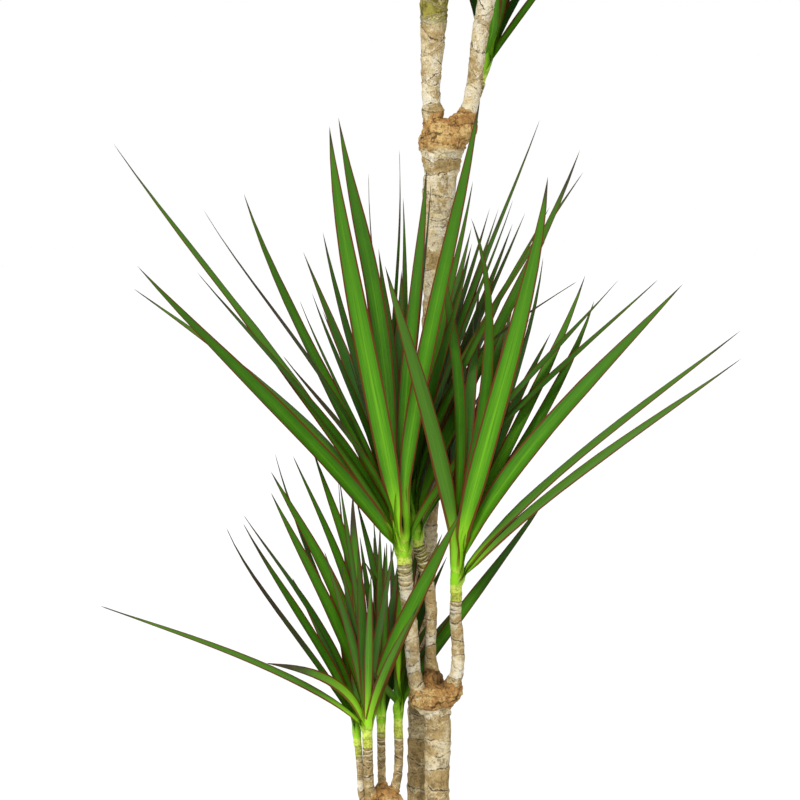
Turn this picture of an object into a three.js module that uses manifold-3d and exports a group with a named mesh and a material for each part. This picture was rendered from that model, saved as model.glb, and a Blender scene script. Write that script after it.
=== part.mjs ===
// A potted dracaena marginata: three bare canes in a nursery pot, each cut off at the top, where a
// corky callus carries leafy side stems. Millimetres, +Z up. The origin is the middle of the pot's
// base, and the plant is looked at from -Y, with +X to the right.

import * as THREE from "three";
import { mergeVertices } from "three/addons/utils/BufferGeometryUtils.js";
import Module from "manifold-3d";

const wasm = await Module();
wasm.setup();

// ---- Driving dimensions ----

const GAP = 0.35; // between touching pieces
const FINEST = 0.04; // what is finer than this is smoothed away where pieces are joined
const DRAWN_APART = 0.01; // how far a corner moves that lies in another one's place
const POT_HEIGHT = 215;
const POT_TOP_RADIUS = 120;
const POT_BASE_RADIUS = 88;
const POT_WALL = 3;
const RIM_HEIGHT = 24;
const RIM_REACH = 5;
const BEVEL = 2; // of the rim's and the base's edges
const DRAIN_COUNT = 6;
const DRAIN_RADIUS = 6;
const DRAIN_RING_RADIUS = 58;
const DRAIN_SIDES = 12;
const POT_SIDES = 32;
const SOIL_LEVEL = 190;
const SOIL_MOUND = 4; // how much higher the soil is in the middle
const SOIL_TOP = 0.5; // of the pot's radius, where the mound is level

// Where the plant is looked at from. A place "as seen" is given on the upright plane through the
// pot's middle, with the depth at which it really lies behind that plane.
const EYE = new THREE.Vector3(-11, -3200, 1015);

const KEEL_DEPTH = 1.5; // of a blade at its midrib
const BLADE_STATIONS = [0, 0.22, 0.48, 0.78]; // and a point at 1
const SHORT_BLADE_STATIONS = [0, 0.25, 0.6];
const SHORT_BLADE = 190; // up to this length a blade has the fewer stations
const SHOOT_TIP = 0.5; // of the shoot's foot, in width
const ROOT_WIDTH = 0.3; // of the full width
const WIDEST_AT = 0.4; // of the length
const TAPER_POWER = 1.7;
const LOWEST_ROOT = 0.08; // of the shoot's height, for a level leaf
const ROOT_SPREAD = 0.72; // of the shoot's height, by which an upright leaf's root is higher
const ROOT_SUNK = 1.6; // of a root in the shoot
const LEAST_START = 0.04; // of the length, for which a leaf follows its stem before it leans out
const MOST_START = 0.5;
const HIGH_POINT = 0.6; // of the length, where the curve's second handle is
const LEAST_SLANT = 0.05; // between a leaf and its stem, as the sine of the angle
const UNTWISTED_UNTIL = 0.3; // of the length, where a leaf has turned its face from the stem
const BEND_STEP = 9; // how much further a leaf is bent at each try to clear its neighbours
const BEND_TRIES = 22;
const FREE_FROM = 0.2; // of the length, past which a blade is kept off its own crown's
const ROOM_FOOT = 2; // round a shoot, for the leaf bases
const ROOM_TOP = 9;
const ROOM_HEIGHT = 1.2; // of the shoot's height
const CLEARANCE = 0.4; // added round a blade that is tried

const BARK_SIDES = 10;
const CALLUS_AROUND = 10;
const CALLUS_RINGS = 7;
const SWELL = 0.07; // of a callus's radius, by which its bumps stand out
const BUMPS = 5; // how close the bumps are
const FILL_BOW = 0.1; // of a filling leaf's reach
const FILL_SWING = 0.35; // in radians, by which a filling leaf's face is turned off
const FILL_NARROWER = 0.3; // by which the outermost filling leaf is narrower than the innermost
const GOLDEN_ANGLE = Math.PI * (3 - Math.sqrt(5));
const UP = new THREE.Vector3(0, 0, 1);

// ---- Colours and finishes ----

const FINISHES = {
  pot: { color: 0x2b2c2e, roughness: 0.55 },
  soil: { color: 0x3a2a1e, roughness: 0.95 },
  bark: { color: 0xb09a80, roughness: 0.85 },
  leaf: { color: 0x3f8f2c, roughness: 0.42 },
};

// ---- The canes: rows of [x as seen, height, depth, radius], from the foot up ----

const TALL_CANE = {
  name: "cane_tall",
  trunk: [
    [4, 80, 38, 13.5],
    [5, 190, 38, 13.5],
    [7, 400, 38, 12.2],
    [8, 575, 38, 11.7],
    [11, 719, 38, 11.6],
    [15, 810, 38, 11.2],
    [19, 899, 38, 11],
    [22, 990, 38, 11.6],
    [25, 1045, 38, 15],
    [27, 1070, 38, 16],
  ],
  callus: [
    [27, 1077, 38, 21, 20, 21],
    [43, 1088, 36, 15, 15, 14],
  ],
  stems: [
    [
      [20, 1085, 38, 9],
      [17, 1119, 38, 8.3],
      [17.5, 1151, 38, 10],
      [19, 1187, 38, 12.2],
      [20, 1215, 38, 13.8],
      [20, 1250, 38, 13],
    ],
    [
      [46, 1088, 38, 9],
      [53, 1115, 38, 7.4],
      [56, 1133, 38, 7.2],
      [60, 1169, 38, 7.6],
      [67, 1205, 38, 7.7],
      [76, 1240, 38, 8],
      [84, 1268, 38, 8],
    ],
    [
      [44, 1086, 45, 8],
      [52, 1107, 58, 6],
      [60, 1130, 66, 5.8],
    ],
  ],
};

const MEDIUM_CANE = {
  name: "cane_medium",
  trunk: [
    [24, 80, -33, 12.5],
    [24, 190, -33, 12.5],
    [23, 400, -33, 11.2],
    [22.5, 500, -33, 10.9],
    [22.5, 560, -33, 11.4],
    [21, 576, -33, 13],
  ],
  callus: [
    [20, 580, -33, 19, 17, 16],
    [34, 583, -36, 10, 11, 11],
    [6, 578, -35, 9, 10, 10],
    [19, 592, -28, 10, 10, 11],
  ],
  stems: [
    [
      [8, 574, -37, 7.5],
      [2.5, 593, -39, 6.6],
      [-0.5, 629, -40, 6.3],
      [-5, 674, -40, 6.4],
      [-7.2, 697, -40, 6.8],
    ],
    [
      [19, 588, -27, 9.2],
      [17, 606, -24, 6.2],
      [16.5, 665, -22, 5.4],
      [11, 695, -22, 5.4],
      [5.8, 713, -22, 5.5],
    ],
    [
      [34, 582, -38, 7.5],
      [40, 598, -43, 6.2],
      [41, 629, -46, 5.8],
      [39, 652, -47, 5.3],
      [40, 672, -47, 5.2],
    ],
  ],
};

const SHORT_CANE = {
  name: "cane_short",
  trunk: [
    [-27, 80, -42, 11.5],
    [-27, 190, -42, 11.5],
    [-26, 330, -42, 10.4],
    [-25, 450, -42, 10.2],
    [-25, 478, -42, 11],
  ],
  callus: [
    [-25, 482, -42, 14.5, 14, 12],
    [-36, 478, -45, 10, 10, 9],
  ],
  stems: [
    [
      [-41, 472, -44, 4.5],
      [-45.5, 488, -44, 3.4],
      [-47, 510, -43, 3.1],
      [-49, 533, -42, 3.2],
    ],
    [
      [-36, 478, -48, 5.5],
      [-39, 496, -54, 4.6],
      [-40, 520, -57, 4.4],
      [-40.5, 540, -57, 4.6],
    ],
    [
      [-27, 486, -38, 4.6],
      [-27.5, 505, -35, 3.8],
      [-28, 546, -34, 3.7],
    ],
    [
      [-19, 484, -38, 5],
      [-14, 500, -33, 4.2],
      [-12, 525, -31, 4],
      [-12.6, 550.5, -31, 4.1],
    ],
  ],
};

// ---- The crowns ----
//
// at is a crown's base as [x as seen, height, depth] and lean its stem's slant to the right.
// A row of leaves is [reach, depth, rise, width, turn, bow]: the tip seen from the base, the blade's
// greatest width, the angle in degrees by which its face turns from the viewer towards +X, and how
// far its middle stands above a straight line. rest says how the other leaves fill the crown round:
// their number, the arc of directions that they take, in degrees from +X by way of the back, the
// least and greatest length, the leans of the innermost and outermost ones, and the width.

const CROWNS = [
  {
    name: "crown_medium_middle",
    at: [5.4, 715, -22],
    core: [5.8, 58],
    lean: -0.2,
    leaves: [
      [145, 60, 355, 17, -50, 3],
      [148, 84, 335, 13, -64, 28],
      [118, 44, 304, 12, -62, 15],
      [109, 98, 382, 12, -66, 16],
      [85, 72, 310, 11, -66, 9],
      [49, 42, 327, 14, -58, 5],
      [143, 22, 237, 6, -60, 37],
      [216, -4, 239, 12, -66, 17],
      [-17, 20, 355, 8, 62, 14],
    ],
    rest: { count: 12, from: 40, to: 62, lengths: [250, 330], leans: [12, 36], width: 15 },
  },
  {
    name: "crown_medium_left",
    at: [-7.2, 699, -40],
    core: [7.4, 62],
    lean: -0.08,
    leaves: [
      [-67, -55, 392, 19, 2, -2],
      [-59, -22, 400, 16, 14, 11],
      [68, -38, 417, 15.5, -12, 8],
      [20, -8, 354, 14, -20, 6],
      [24, 8, 342, 12, -66, 3],
      [-261, -20, 377, 17, 62, 11],
      [-186, 18, 261, 12, 70, 15],
      [-180, 40, 317, 9, 68, 18],
      [-144, 32, 332, 17, 50, -3],
      [-94, 52, 236, 10, 72, 4],
      [-83, 62, 243, 14, 62, 5],
      [-73, 84, 297, 15, 56, 0],
      [-50, 48, 185, 10, 66, 4],
      [-240, -70, 267, 18, 50, 9],
      [-244, -42, 247, 14, 66, 28],
      [-109, -32, 186, 8, 66, 17],
      [-32, 70, 350, 8, 70, 0],
      [-1, 92, 328, 14, 55, -16],
      [194, 30, 256, 14, -68, 8],
    ],
    rest: { count: 9, from: 92, to: 122, lengths: [260, 340], leans: [14, 46], width: 16 },
  },
  {
    name: "crown_medium_right",
    at: [39.6, 674, -47],
    core: [6.2, 60],
    lean: 0.04,
    leaves: [
      [-64, -72, 292, 17, 28, 10],
      [82, -45, 372, 18.5, -6, -3],
      [78, -12, 300, 15, -58, -6],
      [204, -32, 276, 18, -44, 10],
      [256, -8, 234, 14, -70, 16],
      [257, -38, 209, 13, -70, 14],
      [116, 18, 284, 17, -48, -1],
      [124, 30, 261, 16, -48, -4],
      [-13, 22, 306, 15, 42, 13],
      [13, 36, 335, 15, -42, -16],
      [15, 58, 249, 10, -62, -16],
    ],
    rest: { count: 12, from: 62, to: 100, lengths: [240, 320], leans: [16, 50], width: 16 },
  },
  {
    name: "crown_short_2",
    at: [-40.5, 542, -57],
    core: [5.4, 40],
    lean: 0,
    leaves: [
      [-241, -35, 117, 12, 62, 16],
      [-91, -38, 65, 14, 40, 20],
      [85, -42, 204, 15, -10, 8],
      [-13, -12, 219, 13, 34, 0],
      [-87, -15, 220, 14, 46, 9],
      [-87, 10, 239, 15, 42, 16],
      [-83, 26, 255, 11, 62, 0],
      [-67, 36, 253, 12, 50, 18],
      [-50, 20, 261, 13, 46, 15],
      [-26, 46, 232, 9, 60, -2],
      [-25, 4, 231, 9, 48, 10],
    ],
    rest: { count: 6, from: 240, to: 300, lengths: [150, 200], leans: [14, 46], width: 12 },
  },
  {
    name: "crown_short_4",
    at: [-12.6, 552.5, -31],
    core: [4.8, 38],
    lean: 0,
    leaves: [
      [138, 72, 212, 14, -40, 4],
      [-25, -18, 50, 8, 40, -8],
      [4, -10, 150, 9, -30, 2],
    ],
    rest: { count: 11, from: 62, to: 96, lengths: [150, 210], leans: [16, 62], width: 12 },
  },
  {
    name: "crown_short_1",
    at: [-49.5, 535, -42],
    core: [4.2, 36],
    lean: -0.05,
    leaves: [
      [-118, -10, 195, 8, 60, 0],
      [-103, 26, 207, 10, 60, 13],
      [-103, 8, 199, 11, 54, 5],
    ],
    rest: { count: 10, from: 82, to: 120, lengths: [150, 200], leans: [16, 62], width: 11 },
  },
  {
    name: "crown_short_3",
    at: [-28, 548, -34],
    core: [4.6, 36],
    lean: 0,
    leaves: [
      [-15, -16, 151, 12, 44, 27],
      [-23, 10, 210, 12, 52, 16],
      [-7, 26, 191, 10, 52, 19],
      [-1, -8, 183, 11, 40, 0],
      [5, 2, 169, 9, 44, 2],
    ],
    rest: { count: 10, from: 72, to: 112, lengths: [150, 215], leans: [16, 60], width: 11 },
  },
  {
    name: "crown_tall_back",
    at: [60.5, 1132.5, 66],
    core: [6.4, 50],
    lean: 0.3,
    leaves: [
      [116, 20, 168, 9, -58, 12],
      [62, 30, 172, 9, -60, 10],
      [-12, 26, 190, 15, 20, 8],
    ],
    rest: { count: 17, from: 48, to: 112, lengths: [240, 320], leans: [10, 48], width: 14 },
  },
  {
    name: "crown_tall_left",
    at: [20, 1252.5, 38],
    core: [13.4, 70],
    lean: 0,
    leaves: [],
    rest: { count: 34, from: 75, to: 285, lengths: [330, 400], leans: [8, 76], width: 17 },
  },
  {
    name: "crown_tall_right",
    at: [84.5, 1270.5, 38],
    core: [8.4, 64],
    lean: 0.3,
    leaves: [],
    rest: { count: 32, from: -105, to: 80, lengths: [310, 380], leans: [8, 76], width: 16 },
  },
];

// ---- Places and solids ----

/** The point that is seen at x and z on the upright plane through the middle, at its own depth. */
function asSeen(x, z, depth) {
  const point = new THREE.Vector3(x, 0, z);
  return point.sub(EYE).multiplyScalar(1 - depth / EYE.y).add(EYE);
}

/** A closed geometry as a solid that can be joined and cut. */
function toSolid(geometry) {
  geometry.deleteAttribute("normal");
  geometry.deleteAttribute("uv");
  const merged = mergeVertices(geometry, 1e-5);
  const vertProperties = new Float32Array(merged.attributes.position.array);
  const triVerts = new Uint32Array(merged.index.array);
  return new wasm.Manifold(new wasm.Mesh({ numProp: 3, vertProperties, triVerts }));
}

/** Draws corners that lie in one place apart, each a little towards its own neighbours. */
function drawApart(geometry) {
  const { position } = geometry.attributes;
  const corners = geometry.index.array;
  const points = Array.from({ length: position.count }, (_, i) =>
    new THREE.Vector3().fromBufferAttribute(position, i),
  );
  const ways = points.map(() => new THREE.Vector3());
  corners.forEach((corner, i) => {
    const next = corners[i % 3 === 2 ? i - 2 : i + 1];
    ways[corner].add(points[next]).sub(points[corner]);
    ways[next].add(points[corner]).sub(points[next]);
  });
  const places = points.map((point) => point.toArray().map((value) => value.toFixed(4)).join());
  const seen = new Set();
  const shared = new Set(places.filter((place) => seen.size === seen.add(place).size));
  points.forEach((point, i) => {
    if (shared.has(places[i])) {
      point.add(ways[i].setLength(DRAWN_APART));
      position.setXYZ(i, ...point.toArray());
    }
  });
}

/** A solid as a geometry with flat faces. */
function toGeometry(solid) {
  const mesh = solid.getMesh();
  const geometry = new THREE.BufferGeometry();
  geometry.setAttribute("position", new THREE.BufferAttribute(mesh.vertProperties, 3));
  geometry.setIndex(new THREE.BufferAttribute(mesh.triVerts, 1));
  drawApart(geometry);
  geometry.computeVertexNormals();
  return geometry;
}

/** A solid through rings of points, closed by a fan at each end. A last ring of one point is a tip. */
function loft(rings) {
  const points = rings.flat();
  const corners = [];
  const count = rings[0].length;
  for (let i = 0; i + 1 < rings.length; i++) {
    const low = i * count;
    const high = low + count;
    for (let j = 0; j < count; j++) {
      const next = (j + 1) % count;
      if (rings[i + 1].length === 1) {
        corners.push(low + j, low + next, high);
      } else if (j < count / 2) {
        corners.push(low + j, low + next, high + next, low + j, high + next, high + j);
      } else {
        corners.push(low + j, low + next, high + j, low + next, high + next, high + j);
      }
    }
  }
  for (let j = 1; j + 1 < count; j++) {
    corners.push(0, j + 1, j);
  }
  const top = points.length - count;
  for (let j = 1; j + 1 < count && rings.at(-1).length > 1; j++) {
    corners.push(top, top + j, top + j + 1);
  }
  const geometry = new THREE.BufferGeometry().setFromPoints(points);
  geometry.setIndex(corners);
  return toSolid(geometry);
}

/** Pieces joined as one body: a hollow that this seals is filled, and a loose scrap is dropped. */
function joined(pieces) {
  const bodies = wasm.Manifold.union(pieces).simplify(FINEST).decompose();
  return bodies.reduce((most, body) => (body.volume() > most.volume() ? body : most));
}

function named(name, solid, finish) {
  const material = new THREE.MeshStandardMaterial({ ...FINISHES[finish], metalness: 0 });
  const mesh = new THREE.Mesh(toGeometry(solid), material);
  mesh.name = name;
  return mesh;
}

// ---- Pot and soil ----

/** Half of the pot's inner width at a height. */
function potInside(z) {
  const wide = THREE.MathUtils.lerp(POT_BASE_RADIUS, POT_TOP_RADIUS, z / POT_HEIGHT);
  return wide - POT_WALL;
}

/** A lathed solid about the pot's axis, from an outline of [radius, height] points. */
function turned(outline) {
  const points = outline.map(([r, z]) => new THREE.Vector2(r, z));
  return toSolid(new THREE.LatheGeometry(points, POT_SIDES).rotateX(Math.PI / 2));
}

function makePot() {
  const rimFoot = POT_HEIGHT - RIM_HEIGHT;
  const outside = (z) => potInside(z) + POT_WALL;
  let pot = turned([
    [0, 0],
    [POT_BASE_RADIUS - BEVEL, 0],
    [outside(BEVEL), BEVEL],
    [outside(rimFoot), rimFoot],
    [outside(rimFoot) + RIM_REACH, rimFoot + BEVEL],
    [POT_TOP_RADIUS + RIM_REACH, POT_HEIGHT - BEVEL],
    [POT_TOP_RADIUS + RIM_REACH - BEVEL, POT_HEIGHT],
    [potInside(POT_HEIGHT) + BEVEL, POT_HEIGHT],
    [potInside(POT_HEIGHT - BEVEL), POT_HEIGHT - BEVEL],
    [potInside(POT_WALL), POT_WALL],
    [0, POT_WALL],
  ]);
  for (let i = 0; i < DRAIN_COUNT; i++) {
    const angle = (i * 2 * Math.PI) / DRAIN_COUNT;
    const hole = new THREE.CylinderGeometry(DRAIN_RADIUS, DRAIN_RADIUS, 4 * POT_WALL, DRAIN_SIDES);
    hole.rotateX(Math.PI / 2);
    hole.translate(DRAIN_RING_RADIUS * Math.cos(angle), DRAIN_RING_RADIUS * Math.sin(angle), 0);
    pot = pot.subtract(toSolid(hole));
  }
  return pot;
}

function makeSoil(canes) {
  const floor = POT_WALL + GAP;
  const brim = SOIL_LEVEL - SOIL_MOUND;
  let soil = turned([
    [0, floor],
    [potInside(floor) - 2 * GAP, floor],
    [potInside(brim) - 2 * GAP, brim],
    [potInside(SOIL_LEVEL) * SOIL_TOP, SOIL_LEVEL],
    [0, SOIL_LEVEL],
  ]);
  for (const cane of canes) {
    const hole = cane.trunk.filter((row) => row[1] <= SOIL_LEVEL);
    const [x, , depth, radius] = hole.at(-1);
    const rows = [...hole, [x, POT_HEIGHT, depth, radius]];
    soil = soil.subtract(bark(rows.map(([a, z, b, r]) => [a, z - GAP, b, r + 2 * GAP])));
  }
  return soil;
}

// ---- Canes ----

/** A round stem through rows of [x as seen, height, depth, radius]. */
function bark(rows) {
  const curve = new THREE.CatmullRomCurve3(rows.map(([x, z, depth]) => asSeen(x, z, depth)));
  const rings = rows.map(([x, z, depth, radius], i) => {
    const along = curve.getTangent(i / (rows.length - 1));
    const across = new THREE.Vector3(1, 0, 0).addScaledVector(along, -along.x).normalize();
    const deep = along.clone().cross(across);
    const ring = [];
    for (let j = 0; j < BARK_SIDES; j++) {
      const angle = (j * 2 * Math.PI) / BARK_SIDES;
      const point = asSeen(x, z, depth).addScaledVector(across, radius * Math.cos(angle));
      ring.push(point.addScaledVector(deep, radius * Math.sin(angle)));
    }
    return ring;
  });
  return loft(rings);
}

/** A corky lump: a ball whose radius swells and sinks by a formula. */
function callus([x, z, depth, wide, deep, high]) {
  const ball = new THREE.SphereGeometry(1, CALLUS_AROUND, CALLUS_RINGS);
  const centre = asSeen(x, z, depth);
  const position = ball.attributes.position;
  const point = new THREE.Vector3();
  for (let i = 0; i < position.count; i++) {
    point.fromBufferAttribute(position, i);
    const swell = 1 + SWELL * Math.sin(BUMPS * point.x + x) * Math.cos(BUMPS * point.z);
    point.multiplyScalar(swell).multiply(new THREE.Vector3(wide, high, deep));
    position.setXYZ(i, point.x + centre.x, centre.y - point.z, point.y + centre.z);
  }
  return toSolid(ball);
}

function makeCane(cane) {
  return joined([bark(cane.trunk), ...cane.callus.map(callus), ...cane.stems.map(bark)]);
}

// ---- Leaves ----

/** A blade's width at a place from 0 at its root to 1 at its tip, as a share of its greatest. */
function bladeWidth(place) {
  if (place < WIDEST_AT) {
    return ROOT_WIDTH + (1 - ROOT_WIDTH) * Math.sin(((place / WIDEST_AT) * Math.PI) / 2);
  }
  return 1 - ((place - WIDEST_AT) / (1 - WIDEST_AT)) ** TAPER_POWER;
}

/**
 * The curve of a leaf, a cubic Bezier curve whose middle stands as far above a straight line as the
 * leaf's bow says. Where it does, the leaf follows its stem until it's high enough, and a handle
 * further out is as high; a leaf that sags has only that second handle, below the line.
 */
function midrib(leaf, tip) {
  const chord = tip.clone().sub(leaf.root);
  const length = chord.length();
  const along = chord.clone().divideScalar(length);
  const above = UP.clone().addScaledVector(along, -along.z).normalize();
  const handle = leaf.bow * (leaf.bow > 0 ? 4 / 3 : 8 / 3);
  const followed = handle / (Math.max(leaf.axis.dot(above), LEAST_SLANT) * length);
  const start = THREE.MathUtils.clamp(followed, LEAST_START, MOST_START) * length;
  const low = leaf.root.clone().addScaledVector(leaf.axis, start);
  const high = leaf.root.clone().addScaledVector(chord, HIGH_POINT).addScaledVector(above, handle);
  return new THREE.CubicBezierCurve3(leaf.root, low, high, tip);
}

/** A leaf's blade: flat, with a pointed tip, turning its face from the stem to where it looks. */
function blade(leaf, tip, extra = 0, from = 0) {
  const curve = midrib(leaf, tip);
  const outward = tip.clone().sub(leaf.root).setZ(0).normalize();
  const look = new THREE.Vector3(Math.sin(leaf.turn), -Math.cos(leaf.turn), 0);
  const inward = outward.multiplyScalar(outward.dot(look) > 0 ? 1 : -1);
  const long = leaf.root.distanceTo(tip) > SHORT_BLADE;
  const stations = long ? BLADE_STATIONS : SHORT_BLADE_STATIONS;
  const rings = [];
  for (const place of stations.filter((station) => station >= from)) {
    const centre = curve.getPoint(place);
    const along = curve.getTangent(place);
    const turn = THREE.MathUtils.smoothstep(place, 0, UNTWISTED_UNTIL);
    const face = inward.clone().lerp(look, turn);
    const half = along.clone().cross(face).normalize();
    const thick = half.clone().cross(along).multiplyScalar(KEEL_DEPTH / 2 + extra);
    half.multiplyScalar((bladeWidth(place) * leaf.width) / 2 + extra);
    rings.push([
      centre.clone().sub(half).add(thick),
      centre.clone().add(half).add(thick),
      centre.clone().sub(thick),
    ]);
  }
  rings.push([curve.getPoint(1).addScaledVector(curve.getTangent(1), extra)]);
  return loft(rings);
}

/** The leaves that fill a crown round: they lean further out one after another, a golden angle on. */
function restOfLeaves({ count, from, to, lengths, leans, width }) {
  const leaves = [];
  for (let i = 0; i < count; i++) {
    const outer = (i + 0.5) / count;
    const share = (i * GOLDEN_ANGLE) / (2 * Math.PI);
    const direction = THREE.MathUtils.degToRad(from + (to - from) * (share - Math.floor(share)));
    const lean = THREE.MathUtils.degToRad(THREE.MathUtils.lerp(leans[0], leans[1], outer));
    const length = THREE.MathUtils.lerp(lengths[0], lengths[1], Math.sin(Math.PI * outer));
    const out = length * Math.sin(lean);
    const turn = Math.atan2(-Math.cos(direction), Math.sin(direction)) + FILL_SWING * Math.sin(i);
    leaves.push([
      out * Math.cos(direction),
      out * Math.sin(direction),
      length * Math.cos(lean),
      width * (1 - FILL_NARROWER * outer),
      THREE.MathUtils.radToDeg(turn),
      FILL_BOW * out,
    ]);
  }
  return leaves;
}

/** How upright a row of a leaf is: 1 for upright and 0 for level. */
function upright([reach, back, rise]) {
  return rise / Math.hypot(reach, back, rise);
}

/** The leaves of a crown. The more a leaf leans, the lower on the shoot is its root. */
function crownLeaves(crown) {
  const [x, z, depth] = crown.at;
  const [shootRadius, shootHeight] = crown.core;
  const base = asSeen(x, z, depth);
  const axis = new THREE.Vector3(crown.lean, 0, 1).normalize();
  const rows = [...crown.leaves, ...restOfLeaves(crown.rest)];
  const byLean = [...rows].sort((a, b) => upright(a) - upright(b));
  return rows.map((row) => {
    const [reach, back, rise, width, turn, bow] = row;
    const up = LOWEST_ROOT + (ROOT_SPREAD * byLean.indexOf(row)) / rows.length;
    const out = Math.max(shootRadius * (1 - up * (1 - SHOOT_TIP)) - ROOT_SUNK, 0.5);
    const outward = new THREE.Vector3(reach, back, 0).setLength(out);
    return {
      root: base.clone().addScaledVector(axis, shootHeight * up).add(outward),
      axis,
      width,
      bow,
      turn: THREE.MathUtils.degToRad(turn),
      place: [x + reach, z + rise, depth + back],
    };
  });
}

/**
 * The blade bent forwards or back, along the line of sight, until it is clear of the other pieces
 * and, past its root, of its own crown's blades. Where no bend does both, it may cross its own.
 */
function clearBlade(leaf, others, own) {
  const [x, z, depth] = leaf.place;
  let crossing = null;
  for (let i = 0; i < BEND_TRIES; i++) {
    const bend = BEND_STEP * Math.ceil(i / 2) * (i % 2 ? 1 : -1);
    const tip = asSeen(x, z, depth + bend);
    const tried = blade(leaf, tip, CLEARANCE);
    if (others.every((other) => tried.intersect(other).isEmpty())) {
      const free = blade(leaf, tip, CLEARANCE, FREE_FROM);
      if (own.every((other) => free.intersect(other).isEmpty())) {
        return blade(leaf, tip);
      }
      crossing ??= blade(leaf, tip);
    }
  }
  return crossing;
}

/** A round cone on a crown's stem, in line with it. */
function cone({ at: [x, z, depth], lean }, footRadius, topRadius, height) {
  const top = [x + lean * height, z + height, depth];
  return bark([[x, z, depth, footRadius], [...top, topRadius]]);
}

/** The room that the leaf bases of a crown need, which its neighbours keep out of. */
function leafRoom(crown) {
  const [radius, height] = crown.core;
  return cone(crown, radius + ROOM_FOOT, radius + ROOM_TOP, height * ROOM_HEIGHT);
}

/** The shoot that the leaves grow from, and the leaves, as one solid. */
function makeCrown(crown, others) {
  const [radius, height] = crown.core;
  const shoot = cone(crown, radius, radius * SHOOT_TIP, height);
  const pieces = [shoot];
  for (const leaf of crownLeaves(crown)) {
    const clear = clearBlade(leaf, others, pieces.slice(1));
    if (clear) {
      pieces.push(clear);
    }
  }
  return joined(pieces);
}

// ---- The plant ----

const plant = new THREE.Group();
const canes = [TALL_CANE, MEDIUM_CANE, SHORT_CANE];
plant.add(named("pot", makePot(), "pot"));
plant.add(named("soil", makeSoil(canes), "soil"));
const placed = [];
for (const cane of canes) {
  const solid = makeCane(cane);
  placed.push(solid);
  plant.add(named(cane.name, solid, "bark"));
}
for (const [i, crown] of CROWNS.entries()) {
  const solid = makeCrown(crown, [...placed, ...CROWNS.slice(i + 1).map(leafRoom)]);
  placed.push(solid);
  plant.add(named(crown.name, solid, "leaf"));
}

export default plant;
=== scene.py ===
"""The looks of a potted dracaena marginata, laid out as an add-on and run as a script.

Three bare canes stand in a nursery pot. Each is cut off at the top, where a corky callus carries
leafy side stems. Lengths here are in millimetres; the meshes are in metres.
"""

import itertools
from functools import partial

import bpy
import numpy as np
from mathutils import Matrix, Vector


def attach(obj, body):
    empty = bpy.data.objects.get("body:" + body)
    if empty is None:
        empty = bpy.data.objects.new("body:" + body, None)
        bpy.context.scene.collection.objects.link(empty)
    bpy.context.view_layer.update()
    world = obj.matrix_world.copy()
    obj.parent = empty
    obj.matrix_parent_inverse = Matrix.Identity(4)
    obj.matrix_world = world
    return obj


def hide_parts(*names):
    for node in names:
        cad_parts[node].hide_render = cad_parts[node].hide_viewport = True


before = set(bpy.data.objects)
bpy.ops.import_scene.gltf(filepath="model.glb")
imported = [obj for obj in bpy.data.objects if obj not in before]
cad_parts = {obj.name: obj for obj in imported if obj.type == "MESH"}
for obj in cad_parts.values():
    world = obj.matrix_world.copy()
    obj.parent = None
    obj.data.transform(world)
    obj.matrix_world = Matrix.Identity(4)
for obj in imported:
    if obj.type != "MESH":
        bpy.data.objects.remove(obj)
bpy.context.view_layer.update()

bl_info = {
    "name": "Potted dracaena marginata",
    "version": (1, 0, 0),
    "blender": (4, 5, 0),
    "location": "3D View > Sidebar > Plant",
    "description": "Builds the leaves, bark, soil and pot of a dracaena marginata",
    "category": "Object",
}

MM = 0.001

# ---- Named places, sizes and shares ----

EYE = np.array([-11.0, -3200.0, 1015.0])  # where the plant is looked at from
AIM = np.array([-11.0, 0.0, 845.2])
SEEN_WIDTH = 720  # of the picture, on the upright plane through the pot's middle
FLOOR_REACH = 60.0  # metres to each side
WHITE = (1.0, 1.0, 1.0, 1.0)

SHOOT_TIP = 0.5  # of the shoot's foot, in width
SHOOT_SHOWN = 0.5  # of the shoot's height, above which the leaves hide it
SHOOT_SUNK = 3.2  # below the crown's base, into the bark
SHOOT_MESH = (26, 32)  # rings, and points round them
WIDEST_AT = 0.4  # of a leaf's length
TAPER_POWER = 1.7
BLUNTER = 0.9  # more of it for a leaf that shows its face
LOWEST_ROOT = 0.08  # of the shoot's height, for a level leaf
ROOT_SPREAD = 0.72  # of the shoot's height, from the lowest root to the highest
ROOT_SUNK = 1.6  # how deep in the shoot a leaf's root is
LEAST_START = 0.04  # of a leaf's reach, where it leaves the line of the shoot: at least
MOST_START = 0.5
HIGH_POINT = 0.6  # of the way to the tip, above which a midrib's third point is
LEAST_SLANT = 0.05  # between a leaf and the shoot, as a sine
TURNED_AT = 0.3  # of the length, at which a leaf has turned to where it looks
READ_TURNED_AT = 0.16  # for a leaf that was read from the photograph
SHEATH_FOOT = 0.35  # of a root's height on the shoot, where its leaf's foot is
LOWEST_FOOT = 0.01  # of the shoot's height
FOOT_INSIDE = 0.86  # of the shoot's radius, where a foot is
FOOT_PULL = 0.9  # how far a foot keeps to the line of the shoot, as a share of the way
SHEATH_BULGE = 0.2  # of the shoot's radius, by which a foot stands off
LAYER_BULGE = 0.10  # more of it for the lowest leaf
CLEAR_AT = 0.12  # of the length, where a leaf is clear of the shoot
FOOT_RINGS = 6  # of points, up to there
READ_RINGS = 18  # along the whole of a leaf that was read
FILL_RINGS = 11  # and of a filling leaf
CROWDING = 1.15  # the power that draws them towards the root
LAST_RING = 0.985  # of the length, before the tip
FOOT_WRAP = 1.2  # radians, half of what a leaf's foot covers of the shoot
WRAP_LENGTH = 4  # of the shoot's radius, along which a foot is widened to that
MOST_WRAP = 0.2  # and of the leaf's reach, at most
CLASP_LENGTH = 4.5  # of the shoot's radius, along which a leaf unrolls
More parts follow.
